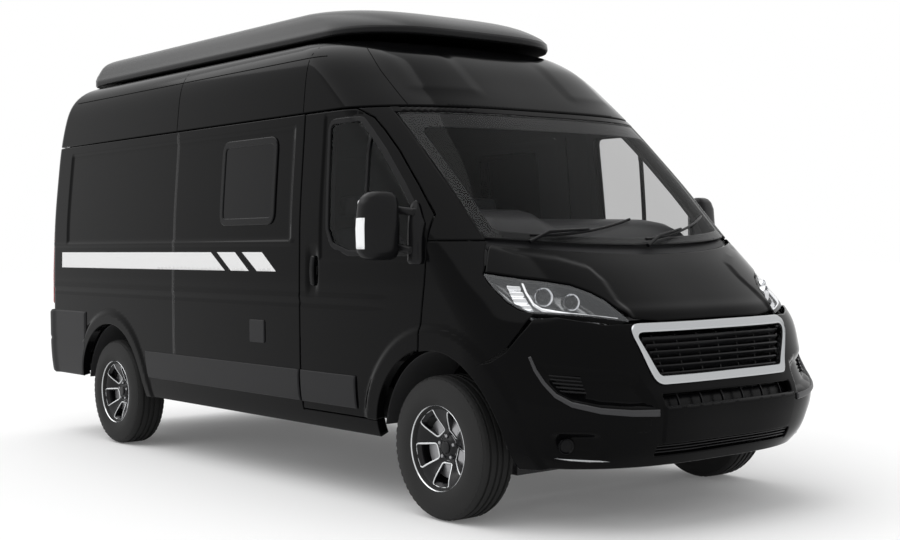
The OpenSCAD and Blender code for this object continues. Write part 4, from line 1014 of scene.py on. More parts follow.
def headlamp(side):
    out = lamp_outline() * (SIGN[side], 1)
    panel(f"headlamp_lens_{side}", front_skin, out, "lamp", nodes=["headlamps"], step=0.02, thick=0, roll=0)
    panel(f"headlamp_bowl_{side}", front_skin, grown(out, -0.004), "bezel", step=0.014, thick=0.004,
          lift=bowl_lift, roll=0)
    panel(f"headlamp_rim_{side}", front_skin, out, "trim", holes=[grown(out, -0.013)], step=0.02, thick=0.03,
          lift=-0.006, roll=0.002)
    corner_panel(f"headlamp_flute_{side}", side, front_uv(FLUTE), "reflector", step=0.008, thick=0.006,
                 lift=flute_lift, roll=0.002)
    y, z = DAY_LINE.T
    deep = body.brow(y, z) - 0.014 * slope(body.brow, y, z)
    tube(f"headlamp_day_line_{side}", deep * (1, SIGN[side], 1), 0.0048, "day_lamp", n=10)
    shelf = np.concatenate([front_uv(DAY_LINE), front_uv(DAY_LINE + (-0.006, 0.022))[::-1]])
    corner_panel(f"headlamp_shelf_{side}", side, shelf, "reflector", step=0.014, thick=0.010, lift=-0.030)
    axis = np.array([0.9, 0.38 * SIGN[side], 0.08])
    for k, (y, z, r) in enumerate(ROUNDS):
        centre = front_point(side, y, z) - 0.048 * unit(axis)
        bowl = [ROUND_TIP] + [(d, r * share) for d, share in ROUND_BOWL]
        bulb = [(d, r * share) for d, share in ROUND_BULB]
        turned(f"headlamp_round_{side}_{k}", bowl, "reflector", centre, axis)
        turned(f"headlamp_bulb_{side}_{k}", bulb, "trim", centre, axis, 32)


# Roof: the deck's height and its skin's tail edge, and the hatch below the lifting part
DECK_Z, ROOF_TAIL_Z, ROOF_TOP_Z = 2.4235, 2.236, 2.4249
HATCH_FRONT, HATCH_BACK, HATCH_HALF = 2.42, 4.76, 0.54
HATCH = rect(NOSE_X - HATCH_BACK, NOSE_X - HATCH_FRONT, -HATCH_HALF, HATCH_HALF)
# Seams: height and ends of the upper ones, stations and ends of the upright ones, points of the front ones
SEAM_Z, SEAM_ENDS, SEAM_HALF = 2.30, (1.99, 5.2), 0.0022
SEAM_STATIONS, SEAM_LOW, SEAM_TOP = (2.11, 3.53), 2.006, 2.36
SEAM_FRONT = [(0.783, 2.006), (0.784, 2.057), (0.774, 2.204), (0.745, 2.30), (0.709, 2.361)]
SEAM_FORM = dict(step=0.04, thick=0, roll=0)


def roof_lift(u, v):
    """Raised fields on both sides of the roof's front."""
    z = body.columns(v)[0]
    y = np.abs(body.girth(u, v)[..., 1])
    rise = smooth((z - 2.06) / 0.05) * smooth((2.36 - z) / 0.08)
    return 0.005 * bump_between(y, 0.38, 0.66, 0.10) * rise * (np.abs(u) < Hull.FRONT)


def seam_lift(u, v):
    return roof_lift(u, v) + FILM


def roof_seams():
    """Sealed joints of the roof's sheets."""
    y, z = np.array(SEAM_FRONT).T
    front, v = np.abs(body.girth_of_breadth(y, z)), body.knot(z)
    lines = [rect(s - SEAM_HALF, s + SEAM_HALF, SEAM_LOW, SEAM_TOP) for s in SEAM_STATIONS]
    lines.append(rect(*SEAM_ENDS, SEAM_Z - SEAM_HALF, SEAM_Z + SEAM_HALF))
    for side, sign in SIGN.items():
        for k, line in enumerate(lines):
            panel(f"roof_seam_{side}_{k}", flank(side), line, "seal", lift=FILM, **SEAM_FORM)
        u = sign * front
        band = [*zip(u - SEAM_HALF, v), *zip(u[::-1] + SEAM_HALF, v[::-1])]
        panel(f"roof_front_seam_{side}", body.girth, band, "seal", lift=seam_lift, **SEAM_FORM)


def girth_ring(hull, v, n):
    """The level outline of a hull at spline coordinate v."""
    u = np.linspace(-Hull.TAIL, Hull.TAIL, n, endpoint=False)
    return hull.girth(u, np.full_like(u, v))[:, :2]


def roof():
    v0, v1, v2 = (float(body.knot(z)) for z in (GUTTER_Z + 0.002, ROOF_TAIL_Z, ROOF_TOP_Z))
    e, t = Hull.CORNER + 0.006, Hull.TAIL
    outline = [(-e, v0), (e, v0), (e, v1), (t, v1), (t, v2), (-t, v2), (-t, v1), (-e, v1)]
    panel("roof_skin", body.girth, outline, "paint", nodes=["roof"], thick=0.03, lift=roof_lift, roll=0.004,
          back="lining")
    panel("roof_deck", level(DECK_Z), girth_ring(body, v2, 260), "shell", holes=[rounded(HATCH, 0.05)],
          step=0.06, thick=0.035, roll=0.001, back="lining")


# Lifting roof: heights of its underside and its crown
POP_LOW_Z, POP_CROWN_Z = 2.4385, 2.6368


def pop_lift(u, v):
    return -0.003 * groove(pop.columns(v)[0], 2.488, 0.006) + 0 * u


def pop_top():
    v0, v1 = float(pop.knots[0]) + 0.001, float(pop.knots[-1]) - 0.0005
    panel("pop_top_shell", pop.girth, rect(-Hull.TAIL, Hull.TAIL, v0, v1), "shell", "pop_top", ["pop_top"],
          thick=0.022, lift=pop_lift)
    opening = rounded(grown(HATCH, 0.065), 0.08)
    panel("pop_top_underside", level(POP_LOW_Z), 0.998 * girth_ring(pop, v0, 240), "seal", "pop_top",
          holes=[opening], step=0.06, thick=0.003, roll=0)
    panel("pop_top_crown", level(POP_CROWN_Z), girth_ring(pop, v1, 240), "shell", "pop_top", step=0.06,
          thick=0.022, roll=0.0005)


# Wheels. Half of a tyre's section from the bead to the tread: distance from the middle plane, radius
TYRE_HALF = [(0.080, 0.186), (0.090, 0.192), (0.098, 0.206), (0.106, 0.235), (0.107, 0.262), (0.103, 0.290),
             (0.098, 0.308), (0.094, 0.322), (0.084, 0.333), (0.072, 0.3375), (0.062, 0.339), (0.060, 0.331),
             (0.050, 0.331), (0.048, 0.340), (0.024, 0.341), (0.022, 0.332), (0.010, 0.332), (0.008, 0.341)]
# Shoulder blocks: number, depth, distance and radius of the edges, and the corners' places in a pitch
BLOCKS, BLOCK_DEPTH = 56, 0.012
BLOCK_INNER, BLOCK_OUTER = (0.064, 0.3405), (0.0935, 0.3265)
BLOCK_CORNERS = [(0, BLOCK_INNER), (0.6, BLOCK_INNER), (0.75, BLOCK_OUTER), (0.15, BLOCK_OUTER)]
BLOCK_FACES = [(0, 2, 4, 6), (1, 3, 2, 0), (3, 5, 4, 2), (5, 7, 6, 4), (7, 1, 0, 6), (7, 5, 3, 1)]
# Turned forms of a rim: distance outwards, radius
BARREL = [(0.088, 0.196), (0.090, 0.203), (0.086, 0.203), (0.080, 0.192), (-0.085, 0.190), (-0.090, 0.199),
          (-0.086, 0.180), (0.060, 0.168), (0.078, 0.184)]
RIM_LIP = [(0.094, 0.199), (0.0985, 0.2025), (0.094, 0.206), (0.090, 0.2025)]
BOLT = [(-0.010, 0.0095), (0.006, 0.0095), (0.009, 0.007), (0.010, 0.001), (-0.010, 0.001)]
CAP = [(-0.012, 0.030), (0.004, 0.030), (0.008, 0.026), (0.0095, 0.012), (0.0095, 0.0006), (-0.012, 0.0006)]
BRAKE = [(0.030, 0.145), (0.030, 0.06), (0.006, 0.06), (0.006, 0.145)]
SPOKES, BOLT_R, FACE_R = 5, 0.054, 0.190
RIM_WINDOW = rounded([(0.080, -0.030), (0.175, -0.054), (0.183, 0.0), (0.175, 0.054), (0.080, 0.030)],
                     [0.008, 0.010, 0.05, 0.010, 0.008], 4)


def dish(r):
    """Distance of a rim's face from the wheel's middle plane."""
    return 0.078 - 0.052 * smooth((0.19 - r) / 0.15) + 0.018 * smooth((0.065 - r) / 0.03)


def facing(profile, out):
    """A profile with its distances towards the wheel's outer side."""
    return [(out * d, r) for d, r in profile]


def spun(p, degrees):
    """Plane points turned about the middle."""
    c, s = math.cos(math.radians(degrees)), math.sin(math.radians(degrees))
    return np.stack([p[..., 0] * c - p[..., 1] * s, p[..., 0] * s + p[..., 1] * c], axis=-1)


def tyre(name, on, c, out):
    section = TYRE_HALF + [(-d, r) for d, r in TYRE_HALF[::-1]]
    lathe(f"tyre_{name}_body", section, "tyre", on, c, nodes=[f"tyre_{name}"], n=120)
    for face in (1, -1):
        verts, faces = [], []
        for k in range(BLOCKS):
            for turn, (d, r) in BLOCK_CORNERS:
                a = 2 * math.pi * (k + turn) / BLOCKS
                verts += [c + (q * math.cos(a), face * d, q * math.sin(a)) for q in (r, r - BLOCK_DEPTH)]
            faces += [tuple(8 * k + i for i in f) for f in BLOCK_FACES]
        end = "outer" if face == out else "inner"
        outward_faces(mesh_piece(f"tyre_{name}_blocks_{end}", verts, faces, "tyre", on, flat=True))


def rim(name, on, c, out):
    def face(lift):
        def place(x, z):
            return np.stack([c[0] + x, c[1] + out * (dish(np.hypot(x, z)) + lift), c[2] + z], axis=-1)
        return place

    lathe(f"rim_{name}_barrel", facing(BARREL, out), "alloy", on, c, nodes=[f"rim_{name}"])
    lathe(f"rim_{name}_lip", facing(RIM_LIP, out), "machined", on, c)
    pitch = 360 / SPOKES
    windows = [spun(RIM_WINDOW, pitch * k - 90) for k in range(SPOKES)]
    disc = arc_points(0, 0, FACE_R, 0, 360, 97)[:-1]
    panel(f"rim_{name}_face", face(0), disc, "alloy", on, holes=windows, step=0.012, thick=0.022)
    for k, window in enumerate(windows):
        panel(f"rim_{name}_edge_{k}", face(FILM), grown(window, 0.0095), "machined", on,
              holes=[grown(window, 0.0015)], step=0.010, thick=0.004, roll=0.001)
        x, z = spun(np.array([BOLT_R, 0]), pitch * (k + 0.5) - 90)
        lathe(f"rim_{name}_bolt_{k}", facing(BOLT, out), "steel", on,
              c + (x, out * (dish(BOLT_R) + 0.004), z), n=6)
    lathe(f"rim_{name}_cap", facing(CAP, out), "alloy", on, c + (0, out * dish(0.0), 0), n=48)
    lathe(f"brake_{name}_disc", facing(BRAKE, out), "steel", on, c, n=72)


def wheel(name, side):
    on = f"wheel_{name}"
    low, high = (np.array(p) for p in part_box(f"tyre_{name}"))
    tyre(name, on, (low + high) / 2, SIGN[side])
    rim(name, on, (low + high) / 2, SIGN[side])


# Mirrors. Columns: share of the housing's height, half breadth, half depth, and shift of its middle outwards
MIRROR_ROWS = np.array([
    (0, 0.054, 0.028, -0.006), (0.04, 0.080, 0.046, -0.003), (0.12, 0.093, 0.058, 0.0),
    (0.5, 0.096, 0.064, 0.0),
    (0.8, 0.090, 0.060, -0.003), (0.92, 0.078, 0.050, -0.008), (0.98, 0.060, 0.034, -0.012),
    (1, 0.042, 0.020, -0.014)])
MIRROR_S, MIRROR_Y, MIRROR_LOW, MIRROR_TOP = 1.190, 1.158, 1.225, 1.552
MIRROR_SKEW = 0.22
# Heights of the arms and of the panes, and outlines of the foot on the door and the repeater on the housing
MIRROR_ARMS, MIRROR_ARM_S = (1.288, 1.468), 1.09
MIRROR_PANES, PANE_HALF = [(1.325, 1.515), (1.25, 1.308)], 0.062
MIRROR_FOOT = rounded([(1.025, 1.205), (1.125, 1.205), (1.135, 1.49), (1.105, 1.51), (1.03, 1.40)], 0.02)
REPEATER = rounded([(0.34 * math.pi, 1.278), (0.60 * math.pi, 1.278), (0.57 * math.pi, 1.425),
                    (0.34 * math.pi, 1.425)], 0.012)


def mirror_point(sign, a, z, lift=0.0):
    """Point of a mirror's housing at the turn a from its front, outwards, and the height z."""
    k = (z - MIRROR_LOW) / (MIRROR_TOP - MIRROR_LOW)
    w, d, shift = (np.interp(k, MIRROR_ROWS[:, 0], MIRROR_ROWS[:, c]) for c in (1, 2, 3))
    across = (w + lift) * np.sign(np.sin(a)) * np.abs(np.sin(a)) ** 0.6
    depth = (d + lift) * np.sign(np.cos(a)) * np.abs(np.cos(a)) ** 0.75
    x = NOSE_X - MIRROR_S + depth - MIRROR_SKEW * across
    return np.stack([x, sign * (MIRROR_Y + shift + across), z + 0 * a], axis=-1)


def foot_lift(s, z):
    return 0.010 + 0.012 * smooth((s - 1.03) / 0.06) * smooth((1.135 - s) / 0.03) + 0 * z


def mirror(side):
    sign, on = SIGN[side], f"door_{side}"

    def pane_plane(y, z):
        return np.stack([NOSE_X - MIRROR_S - 0.056 - MIRROR_SKEW * (y - MIRROR_Y), sign * y, z], axis=-1)

    def housing_skin(a, z):
        return mirror_point(sign, a, z, 0.003)

    share = np.concatenate([np.linspace(0, 0.12, 6), np.linspace(0.2, 0.8, 7), np.linspace(0.86, 1, 7)])
    turns = np.linspace(0, 2 * math.pi, 40, endpoint=False)
    heights = MIRROR_LOW + share * (MIRROR_TOP - MIRROR_LOW)
    rings = [mirror_point(sign, turns, np.full_like(turns, z)) for z in heights]
    loft(f"mirror_housing_{side}", rings, "shell", on, [f"mirror_{side}"])
    for k, (low, top) in enumerate(MIRROR_PANES):
        pane = rounded(rect(MIRROR_Y - PANE_HALF, MIRROR_Y + PANE_HALF, low, top), 0.02)
        panel(f"mirror_glass_{side}_{k}", pane_plane, pane, "reflector", on, step=0.04, thick=0.008,
              roll=0.001)
    for k, z in enumerate(MIRROR_ARMS):
        foot = body.flank(np.array([MIRROR_ARM_S]), np.array([z - 0.020]))[0] * (1, -sign, 1)
        inner = np.array([NOSE_X - MIRROR_S + 0.020, sign * (MIRROR_Y - 0.085), z])
        path = [foot - (0, sign * 0.006, 0), foot + (0, sign * 0.022, 0.004), inner,
                inner + (-0.006, sign * 0.07, 0)]
        tube(f"mirror_arm_{side}_{k}", path, [0.024, 0.020, 0.0175, 0.0175], "shell", on, n=16)
    panel(f"mirror_foot_{side}", flank(side), MIRROR_FOOT, "shell", on, step=0.016, thick=0.02,
          lift=foot_lift, roll=0.008)
    panel(f"mirror_repeater_{side}", housing_skin, REPEATER, "white_lens", on, step=0.05, thick=0.006,
          roll=0.001)


# Rear doors, breadth and height, and their hinges' station, breadth and heights
REAR_DOOR = rounded(rect(0.005, 0.862, 0.52, 2.225), [0.01, 0.03, 0.05, 0.01])
REAR_WINDOW = rounded(rect(0.23, 0.74, 1.38, 1.88), 0.06)
HINGE_S, HINGE_Y, HINGE_HEIGHTS = 5.376, 0.866, (0.7, 1.6)
HINGE_PIN = [(-0.03, 0.013), (0.03, 0.013), (0.03, 0.0075), (-0.03, 0.0075)]


def tail_surface(y, z):
    tail = body.columns_at(z)[5]
    return np.stack([NOSE_X - tail + 0 * y, y, z + 0 * y], axis=-1)


def rear_door_lift(y, z):
    fields = bump_between(z, 0.72, 1.20, 0.03) + bump_between(z, 1.30, 1.98, 0.03)
    return -0.006 * bump_between(np.abs(y), 0.12, 0.80, 0.03) * fields


def rear_door(side):
    sign, on = SIGN[side], f"rear_door_{side}"
    window = REAR_WINDOW * (sign, 1)
    panel(f"rear_door_skin_{side}", tail_surface, REAR_DOOR * (sign, 1), "paint", on, [f"rear_door_{side}"],
          [window], 0.02, 0.045, rear_door_lift, back="lining")
    glazed(f"rear_window_{side}", tail_surface, window, on, [f"rear_glass_{side}"], lift=-0.008)
    y0, y1 = sorted((sign * 0.852, sign * 0.795))
    for z in HINGE_HEIGHTS:
        tag = f"{side}_{int(z * 100)}"
        lathe(f"rear_hinge_{tag}", HINGE_PIN, "plastic", on, (NOSE_X - HINGE_S, sign * HINGE_Y, z), True,
              n=24)
        block(f"rear_hinge_leaf_{tag}", (NOSE_X - 5.372, y0, z - 0.028), (NOSE_X - 5.352, y1, z + 0.028),
              "plastic", on, bevel=0.004)
    if side == "right":
        block("rear_handle", (NOSE_X - 5.378, -0.14, 1.02), (NOSE_X - 5.352, -0.03, 1.09), "trim", on)


# Tail lamps, side coordinate and height
TAIL_LAMP = rounded([(5.315, 0.90), (5.462, 0.90), (5.462, 1.42), (5.335, 1.42)], 0.02)
TAIL_LENS = rounded([(5.33, 1.06), (5.455, 1.06), (5.455, 1.14), (5.333, 1.14)], 0.012)


def tail_lamp(side):
    panel(f"tail_lamp_{side}", flank(side), TAIL_LAMP, "red_lens", nodes=["tail_lamps"], step=0.02,
          lift=0.010, roll=0.006)
    panel(f"tail_lamp_white_{side}", flank(side), TAIL_LENS, "white_lens", step=0.02, thick=0.006,
          lift=0.0125, roll=0.002)


# Rear bumper: the front end of its cheeks, its low and top edges, and the step's top
CHEEK_S, CHEEK_LOW, CHEEK_TOP, STEP_TOP = 4.76, 0.417, 0.858, 0.502


def cheek_lift(s, z):
    return 0.012 + 0.038 * smooth((s - CORNER_U + 0.05) / 0.2) - 0.006 * groove(z, 0.66, 0.006)


def rear_bumper():
    a0, a1 = angle_at_height(CHEEK_LOW, ARCH_REAR), angle_at_station(CHEEK_S, AXLE_REAR, ARCH_REAR)
    arch = arc_points(AXLE_REAR, AXLE_Z, ARCH_REAR + 0.002, a1, a0, 14)
    outline = [(END_U, CHEEK_LOW), (END_U, CHEEK_TOP), (CHEEK_S, CHEEK_TOP), *arch]
    cheek = panel("rear_bumper_cheek_right", body.flank, outline, "plastic", nodes=["bumper_rear"],
                  step=0.018, thick=0.014, lift=cheek_lift, roll=0.010)
    mirrored_copy(cheek, "rear_bumper_cheek_left")
    end, w = NOSE_X - LENGTH, PILLAR_Y
    block("rear_bumper_step", (end, -w - 0.01, CHEEK_LOW), (end + 0.05, w + 0.01, STEP_TOP), "plastic",
          bevel=0.014)
    block("rear_sill", (end + 0.03, -w + 0.01, STEP_TOP - 0.04), (end + 0.13, w - 0.01, STEP_TOP), "plastic",
          bevel=0.006)


# Wheel housings. Columns: end, axle's station, radius, inner end
LINERS = [("front", AXLE_FRONT, ARCH_FRONT - 0.004, 0.62), ("rear", AXLE_REAR, ARCH_REAR - 0.004, 0.66)]
LINER_FORM = dict(step=0.06, thick=0.003, roll=0)


def arch_liners():
    """Shells over the wheels. The rear ones have an inner wall too."""
    for end, s, r, inner in LINERS:
        def shell(a, y, s=s, r=r):
            return np.stack([NOSE_X - s - r * np.cos(a), y, AXLE_Z + r * np.sin(a)], axis=-1)

        edge = rect(0.15, math.pi - 0.1, inner, HALF - 0.06)
        liner = panel(f"arch_liner_{end}_left", shell, edge, "underbody", **LINER_FORM)
        mirrored_copy(liner, f"arch_liner_{end}_right")

    def wall(u, z):
        return np.stack([NOSE_X - u, np.full_like(u, inner), z], axis=-1)

    half_disc = arc_points(s, AXLE_Z, r, 8, 174, 40)
    liner = panel("arch_wall_rear_left", wall, half_disc, "underbody", **LINER_FORM)
    mirrored_copy(liner, "arch_wall_rear_right")


def cant_rails():
    """Lining inside the joint of the roof and the sides."""
    rail = panel("cant_rail_right", body.flank, rect(1.9, CORNER_U, 1.955, 2.06), "lining", step=0.05,
                 thick=0.006, lift=-0.055, roll=0)
    mirrored_copy(rail, "cant_rail_left")


# Solids that show as they are, and their finish
NODE_FINISH = {
    "floor_pan": "underbody", "front_axle": "iron", "rear_axle": "iron", "engine": "iron",
    "exhaust": "steel",
    "fuel_tank": "plastic", "dashboard": "plastic", "steering_wheel": "trim", "knuckle_right": "iron",
    "knuckle_left": "iron"}


def finish_nodes():
    for node, mat in NODE_FINISH.items():
        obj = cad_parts[node]
        obj.data.materials.clear()
        obj.data.materials.append(MATS[mat])


# Dashboard's top pad. Columns: station, share of the way up to its top
DASH_ROWS = [(0.93, 0), (0.95, 0.35), (1.0, 0.7), (1.08, 0.92), (1.16, 1), (1.235, 0.93), (1.27, 0.6),
             (1.268, 0.2), (1.25, 0)]
DASH_LOW, DASH_TOP, DASH_HALF, HOOD_RISE = 1.258, 1.425, 0.80, 0.045


def dash_pad():
    """The padded top of the dashboard, with a hood over the instruments in front of the right seat."""
    rings = []
    for y in np.linspace(-DASH_HALF, DASH_HALF, 65):
        end = (1 - min(abs(y) / DASH_HALF, 1) ** 12) ** 0.5
        hood = HOOD_RISE * float(bump_between(y, -0.56, -0.30, 0.12))
        top = (DASH_TOP + hood - DASH_LOW) * (0.35 + 0.65 * end)
        rings.append([(NOSE_X - s, y, DASH_LOW + share * top) for s, share in DASH_ROWS])
    loft("dash_pad", rings, "satin", "body")


def signed_power(x, power):
    return np.sign(x) * abs(x) ** power


def cushion(name, start, end, half_width, half_thick, seams=(), bolster=0.0):
    """A stuffed pad between two points of its middle plane, with sewn seams along it and thicker edges."""
    start, end = np.array(start, float), np.array(end, float)
    up = np.cross(unit(end - start), (0, 1.0, 0))
    turns = np.linspace(0, 2 * math.pi, 72, endpoint=False)
    y, t = signed_power(np.cos(turns), 0.45), signed_power(np.sin(turns), 0.5)
    sewn = sum(0.20 * groove(y, seam, 0.035) for seam in seams)
    swell = 1 + bolster * smooth((abs(y) - 0.55) / 0.3) - sewn
    rings = []
    for u in np.sin(np.linspace(-1, 1, 25) * math.pi / 2):
        taper = max(1 - abs(u) ** 7, 0.002)
        middle = (start + end) / 2 + u * (end - start) / 2
        across = np.outer(y * half_width * taper ** 0.25, (0, 1, 0))
        rings.append(middle + across + np.outer(t * swell * half_thick * taper ** 0.5, up))
    pad = loft(name, rings, "upholstery", "body")
    return pad


# A cab seat: its middle's breadth, and the low and top heights of its base
SEAT_Y, SEAT_LOW, SEAT_BASE = 0.43, 0.535, 0.735


def seats():
    for side, sign in SIGN.items():
        def at(s, z, dy=0.0):
            return (NOSE_X - s, sign * SEAT_Y + dy, z)
        block(f"seat_base_{side}", at(2.15, SEAT_LOW, -0.21), at(1.75, SEAT_BASE, 0.21), "plastic",
              nodes=["seats"] if side == "right" else (), bevel=0.02)
        cushion(f"seat_cushion_{side}", at(2.17, 0.785), at(1.72, 0.800), 0.26, 0.050, (-0.5, 0.5), 0.18)
        cushion(f"seat_back_{side}", at(2.17, 0.80), at(2.33, 1.39), 0.25, 0.050, (-0.5, 0.5), 0.25)
        cushion(f"seat_head_{side}", at(2.345, 1.455), at(2.36, 1.575), 0.135, 0.042)
        for k, dy in enumerate((-0.05, 0.05)):
            tube(f"seat_head_post_{side}_{k}", [at(2.32, 1.36, dy), at(2.35, 1.48, dy)], 0.006, "steel")


# Living space, stations and heights: the kitchen unit and the bed
KITCHEN_FRONT, KITCHEN_BACK, KITCHEN_Y, KITCHEN_TOP = 3.05, 3.90, (-0.92, -0.44), 1.385
BED_FRONT, BED_BACK, BED_HALF, BED_BOARD, BED_TOP = 4.0, 5.2, 0.60, 0.79, 0.915
LIVING_FLOOR = 0.535
WORKTOP_THICK, FRONT_THICK, FRONT_WIDE = 0.03, 0.018, 0.41


def furniture():
    a, b = NOSE_X - KITCHEN_BACK, NOSE_X - KITCHEN_FRONT
    y0, y1 = KITCHEN_Y
    under, face = KITCHEN_TOP - WORKTOP_THICK, y1 - FRONT_THICK
    block("kitchen_carcass", (a, y0, LIVING_FLOOR), (b, face, under), "wood", nodes=["furniture"],
          bevel=0.004)
    block("kitchen_worktop", (a, y0, under), (b, y1, KITCHEN_TOP), "worktop", bevel=0.008)
    for k in range(2):
        x = a + 0.01 + 0.42 * k
        for front, low, top in (("door", LIVING_FLOOR + 0.05, 1.17), ("drawer", 1.18, KITCHEN_TOP - 0.04)):
            block(f"kitchen_{front}_{k}", (x, face, low), (x + FRONT_WIDE, y1 - 0.002, top), "wood",
                  bevel=0.004)
    a, b = NOSE_X - BED_BACK, NOSE_X - BED_FRONT
    block("bed_box", (a, -BED_HALF, LIVING_FLOOR), (b, BED_HALF, BED_BOARD), "wood", bevel=0.008)
    z, half_thick = (BED_BOARD + BED_TOP) / 2, (BED_TOP - BED_BOARD) / 2
    for k in range(2):
        x = a + 0.60 * k
        cushion(f"bed_cushion_{k}", (x + 0.006, 0, z), (x + 0.594, 0, z), BED_HALF - 0.005, half_thick,
                (-0.33, 0.33))


# Tent canvas: its low and top edges, number of folds, distance from the hatch, and half its folds' depth
CANVAS_LOW, CANVAS_TOP, CANVAS_FOLDS = 2.428, 2.484, 20
CANVAS_OUT, FOLD_FRONT, FOLD_BACK = 0.025, 0.020, 0.0025


def tent_canvas():
    """The lifting roof's cloth, folded round the hatch, deepest in front, where the roof rises most."""
    path = closed(rounded(HATCH, 0.05), 0.04)
    way = grown(path, 1.0) - path
    depth = np.interp(path[:, 0], [HATCH[0][0], HATCH[1][0]], [FOLD_BACK, FOLD_FRONT])
    rings = []
    for k in range(CANVAS_FOLDS + 1):
        p = path + way * (CANVAS_OUT + depth * (1 if k % 2 else -1))[:, None]
        z = CANVAS_LOW + (CANVAS_TOP - CANVAS_LOW) * k / CANVAS_FOLDS
        rings.append(np.concatenate([p, np.full((len(p), 1), z)], axis=1))
    cloth = loft("tent_cloth", rings, "canvas", None, ["tent_canvas"], caps=False)
    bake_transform(cloth)


# Wipers: breadths of each blade's ends
WIPERS = [(-0.66, 0.02), (0.02, 0.66)]


def over_screen(y, z, height):
    """Points at a height over the front's surface."""
    return body.brow(y, z) + slope(body.brow, y, z) * height


def wipers():
    for k, (y0, y1) in enumerate(WIPERS):
        ys = np.linspace(y0, y1, 14)
        z = screen_low(ys) + 0.012 + 0.10 * ((ys - y0) / (y1 - y0)) ** 1.5
        tube(f"wiper_blade_{k}", over_screen(ys, z, 0.014), 0.007, "trim", n=8)
        arm_y = np.array([y0 - 0.02, y0 + 0.10, (y0 + y1) / 2])
        arm_z = np.array([screen_low(y0) - 0.015, screen_low(y0) + 0.02, z[7]])
        arm = over_screen(arm_y, arm_z, np.array([[0.008], [0.024], [0.022]]))
        tube(f"wiper_arm_{k}", arm, [0.010, 0.008, 0.006], "trim", n=8)


# Studio
CAMERA_AT = Vector((4.1386 + NOSE_X, -5.0025, 1.3035))
CAMERA_YAW, CAMERA_PITCH, CAMERA_ROLL = (math.radians(a) for a in (140.4808, -0.6326, -0.5075))
PHOTO_W, PHOTO_H = 900, 540
FOCAL_PX, CENTRE_PX = 1383.34, (467.6, 258.1)
# Way, energy and spread of the key light, strength of the sky, and the floor's own share of white
KEY_DIRECTION, KEY_ENERGY, KEY_ANGLE = (0.42, 0.30, -1.0), 1.7, math.radians(80)
SKY = 0.75
FLOOR_WHITE, FLOOR_HALF = 0.10, 60


def camera():
    cam = linked("camera", bpy.data.cameras.new("camera"))
    flat = math.cos(CAMERA_PITCH)
    d = Vector((math.cos(CAMERA_YAW) * flat, math.sin(CAMERA_YAW) * flat, math.sin(CAMERA_PITCH)))
    r = Vector((math.sin(CAMERA_YAW), -math.cos(CAMERA_YAW), 0))
    u = r.cross(d)
    right = math.cos(CAMERA_ROLL) * r + math.sin(CAMERA_ROLL) * u
    up = -math.sin(CAMERA_ROLL) * r + math.cos(CAMERA_ROLL) * u
    cam.matrix_world = Matrix((right, up, -d)).transposed().to_4x4()
    cam.matrix_world.translation = CAMERA_AT
    cam.data.sensor_width = 36
    cam.data.sensor_fit = "HORIZONTAL"
    cam.data.lens = FOCAL_PX / PHOTO_W * cam.data.sensor_width
    cam.data.shift_x = (PHOTO_W / 2 - CENTRE_PX[0]) / PHOTO_W
    cam.data.shift_y = (CENTRE_PX[1] - PHOTO_H / 2) / PHOTO_W
    cam.data.clip_end = 200
    bpy.context.scene.camera = cam


def seen_white(tree):
    """Output that is 1 for rays from the camera, mirror reflections and rays through glass."""
    path = tree.nodes.new("ShaderNodeLightPath")
    total = path.outputs["Is Camera Ray"]
    for name in ("Is Glossy Ray", "Is Transmission Ray"):
        most = tree.nodes.new("ShaderNodeMath")
        most.operation = "MAXIMUM"
        tree.links.new(total, most.inputs[0])
        tree.links.new(path.outputs[name], most.inputs[1])
        total = most.outputs[0]
    return total


def mixed(tree, share, first, second, output):
    """Mixes two shaders by a share and sends them to the output's surface."""
    mix = tree.nodes.new("ShaderNodeMixShader")
    tree.links.new(share, mix.inputs["Fac"])
    tree.links.new(first.outputs[0], mix.inputs[1])
    tree.links.new(second.outputs[0], mix.inputs[2])
    tree.links.new(mix.outputs[0], tree.nodes[output].inputs["Surface"])


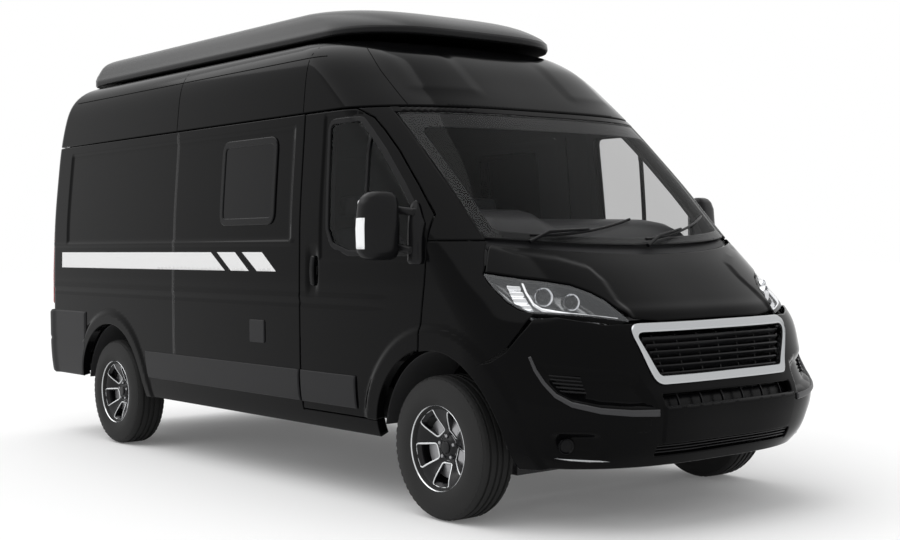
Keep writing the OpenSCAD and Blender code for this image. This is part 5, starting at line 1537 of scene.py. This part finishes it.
def studio():
    world = bpy.data.worlds.new("studio")
    bpy.context.scene.world = world
    world.use_nodes = True
    tree = world.node_tree
    light = tree.nodes["Background"]
    white = tree.nodes.new("ShaderNodeBackground")
    for sky, strength in ((light, SKY), (white, 1.0)):
        sky.inputs["Color"].default_value = (1, 1, 1, 1)
        sky.inputs["Strength"].default_value = strength
    mixed(tree, seen_white(tree), light, white, "World Output")
    key = linked("key", bpy.data.lights.new("key", "SUN"))
    key.data.energy = KEY_ENERGY
    key.data.angle = KEY_ANGLE
    key.rotation_euler = Vector(KEY_DIRECTION).to_track_quat("-Z", "Y").to_euler()
    floor()


def floor():
    """A white floor that keeps the van's soft shadow."""
    me = bpy.data.meshes.new("floor")
    corners = rect(-FLOOR_HALF, FLOOR_HALF, -FLOOR_HALF, FLOOR_HALF)
    me.from_pydata([(x, y, 0) for x, y in corners], [], [(0, 1, 2, 3)])
    obj = linked("floor", me)
    m = bpy.data.materials.new("floor")
    m.use_nodes = True
    tree = m.node_tree
    paper = tree.nodes["Principled BSDF"]
    paper.inputs["Base Color"].default_value = (0.92, 0.92, 0.92, 1)
    paper.inputs["Roughness"].default_value = 0.9
    paper.inputs["Specular IOR Level"].default_value = 0.0
    share = tree.nodes.new("ShaderNodeMath")
    share.operation = "MULTIPLY"
    share.inputs[1].default_value = FLOOR_WHITE
    tree.links.new(seen_white(tree), share.inputs[0])
    mixed(tree, share.outputs[0], paper, tree.nodes.new("ShaderNodeEmission"), "Material Output")
    me.materials.append(m)


sides()
stripes()
for side in SIGN:
    door(side)
    pillar(side)
    headlamp(side)
    mirror(side)
    rear_door(side)
    tail_lamp(side)
mouldings()
rear_bumper()
cant_rails()
bonnet()
windscreen()
wings()
bumper()
grille()
roof()
roof_seams()
pop_top()
arch_liners()
for end in ("front", "rear"):
    for side in SIGN:
        wheel(f"{end}_{side}", side)
seats()
dash_pad()
furniture()
tent_canvas()
wipers()
finish_nodes()
camera()
studio()
bpy.context.scene.view_settings.view_transform = "Standard"
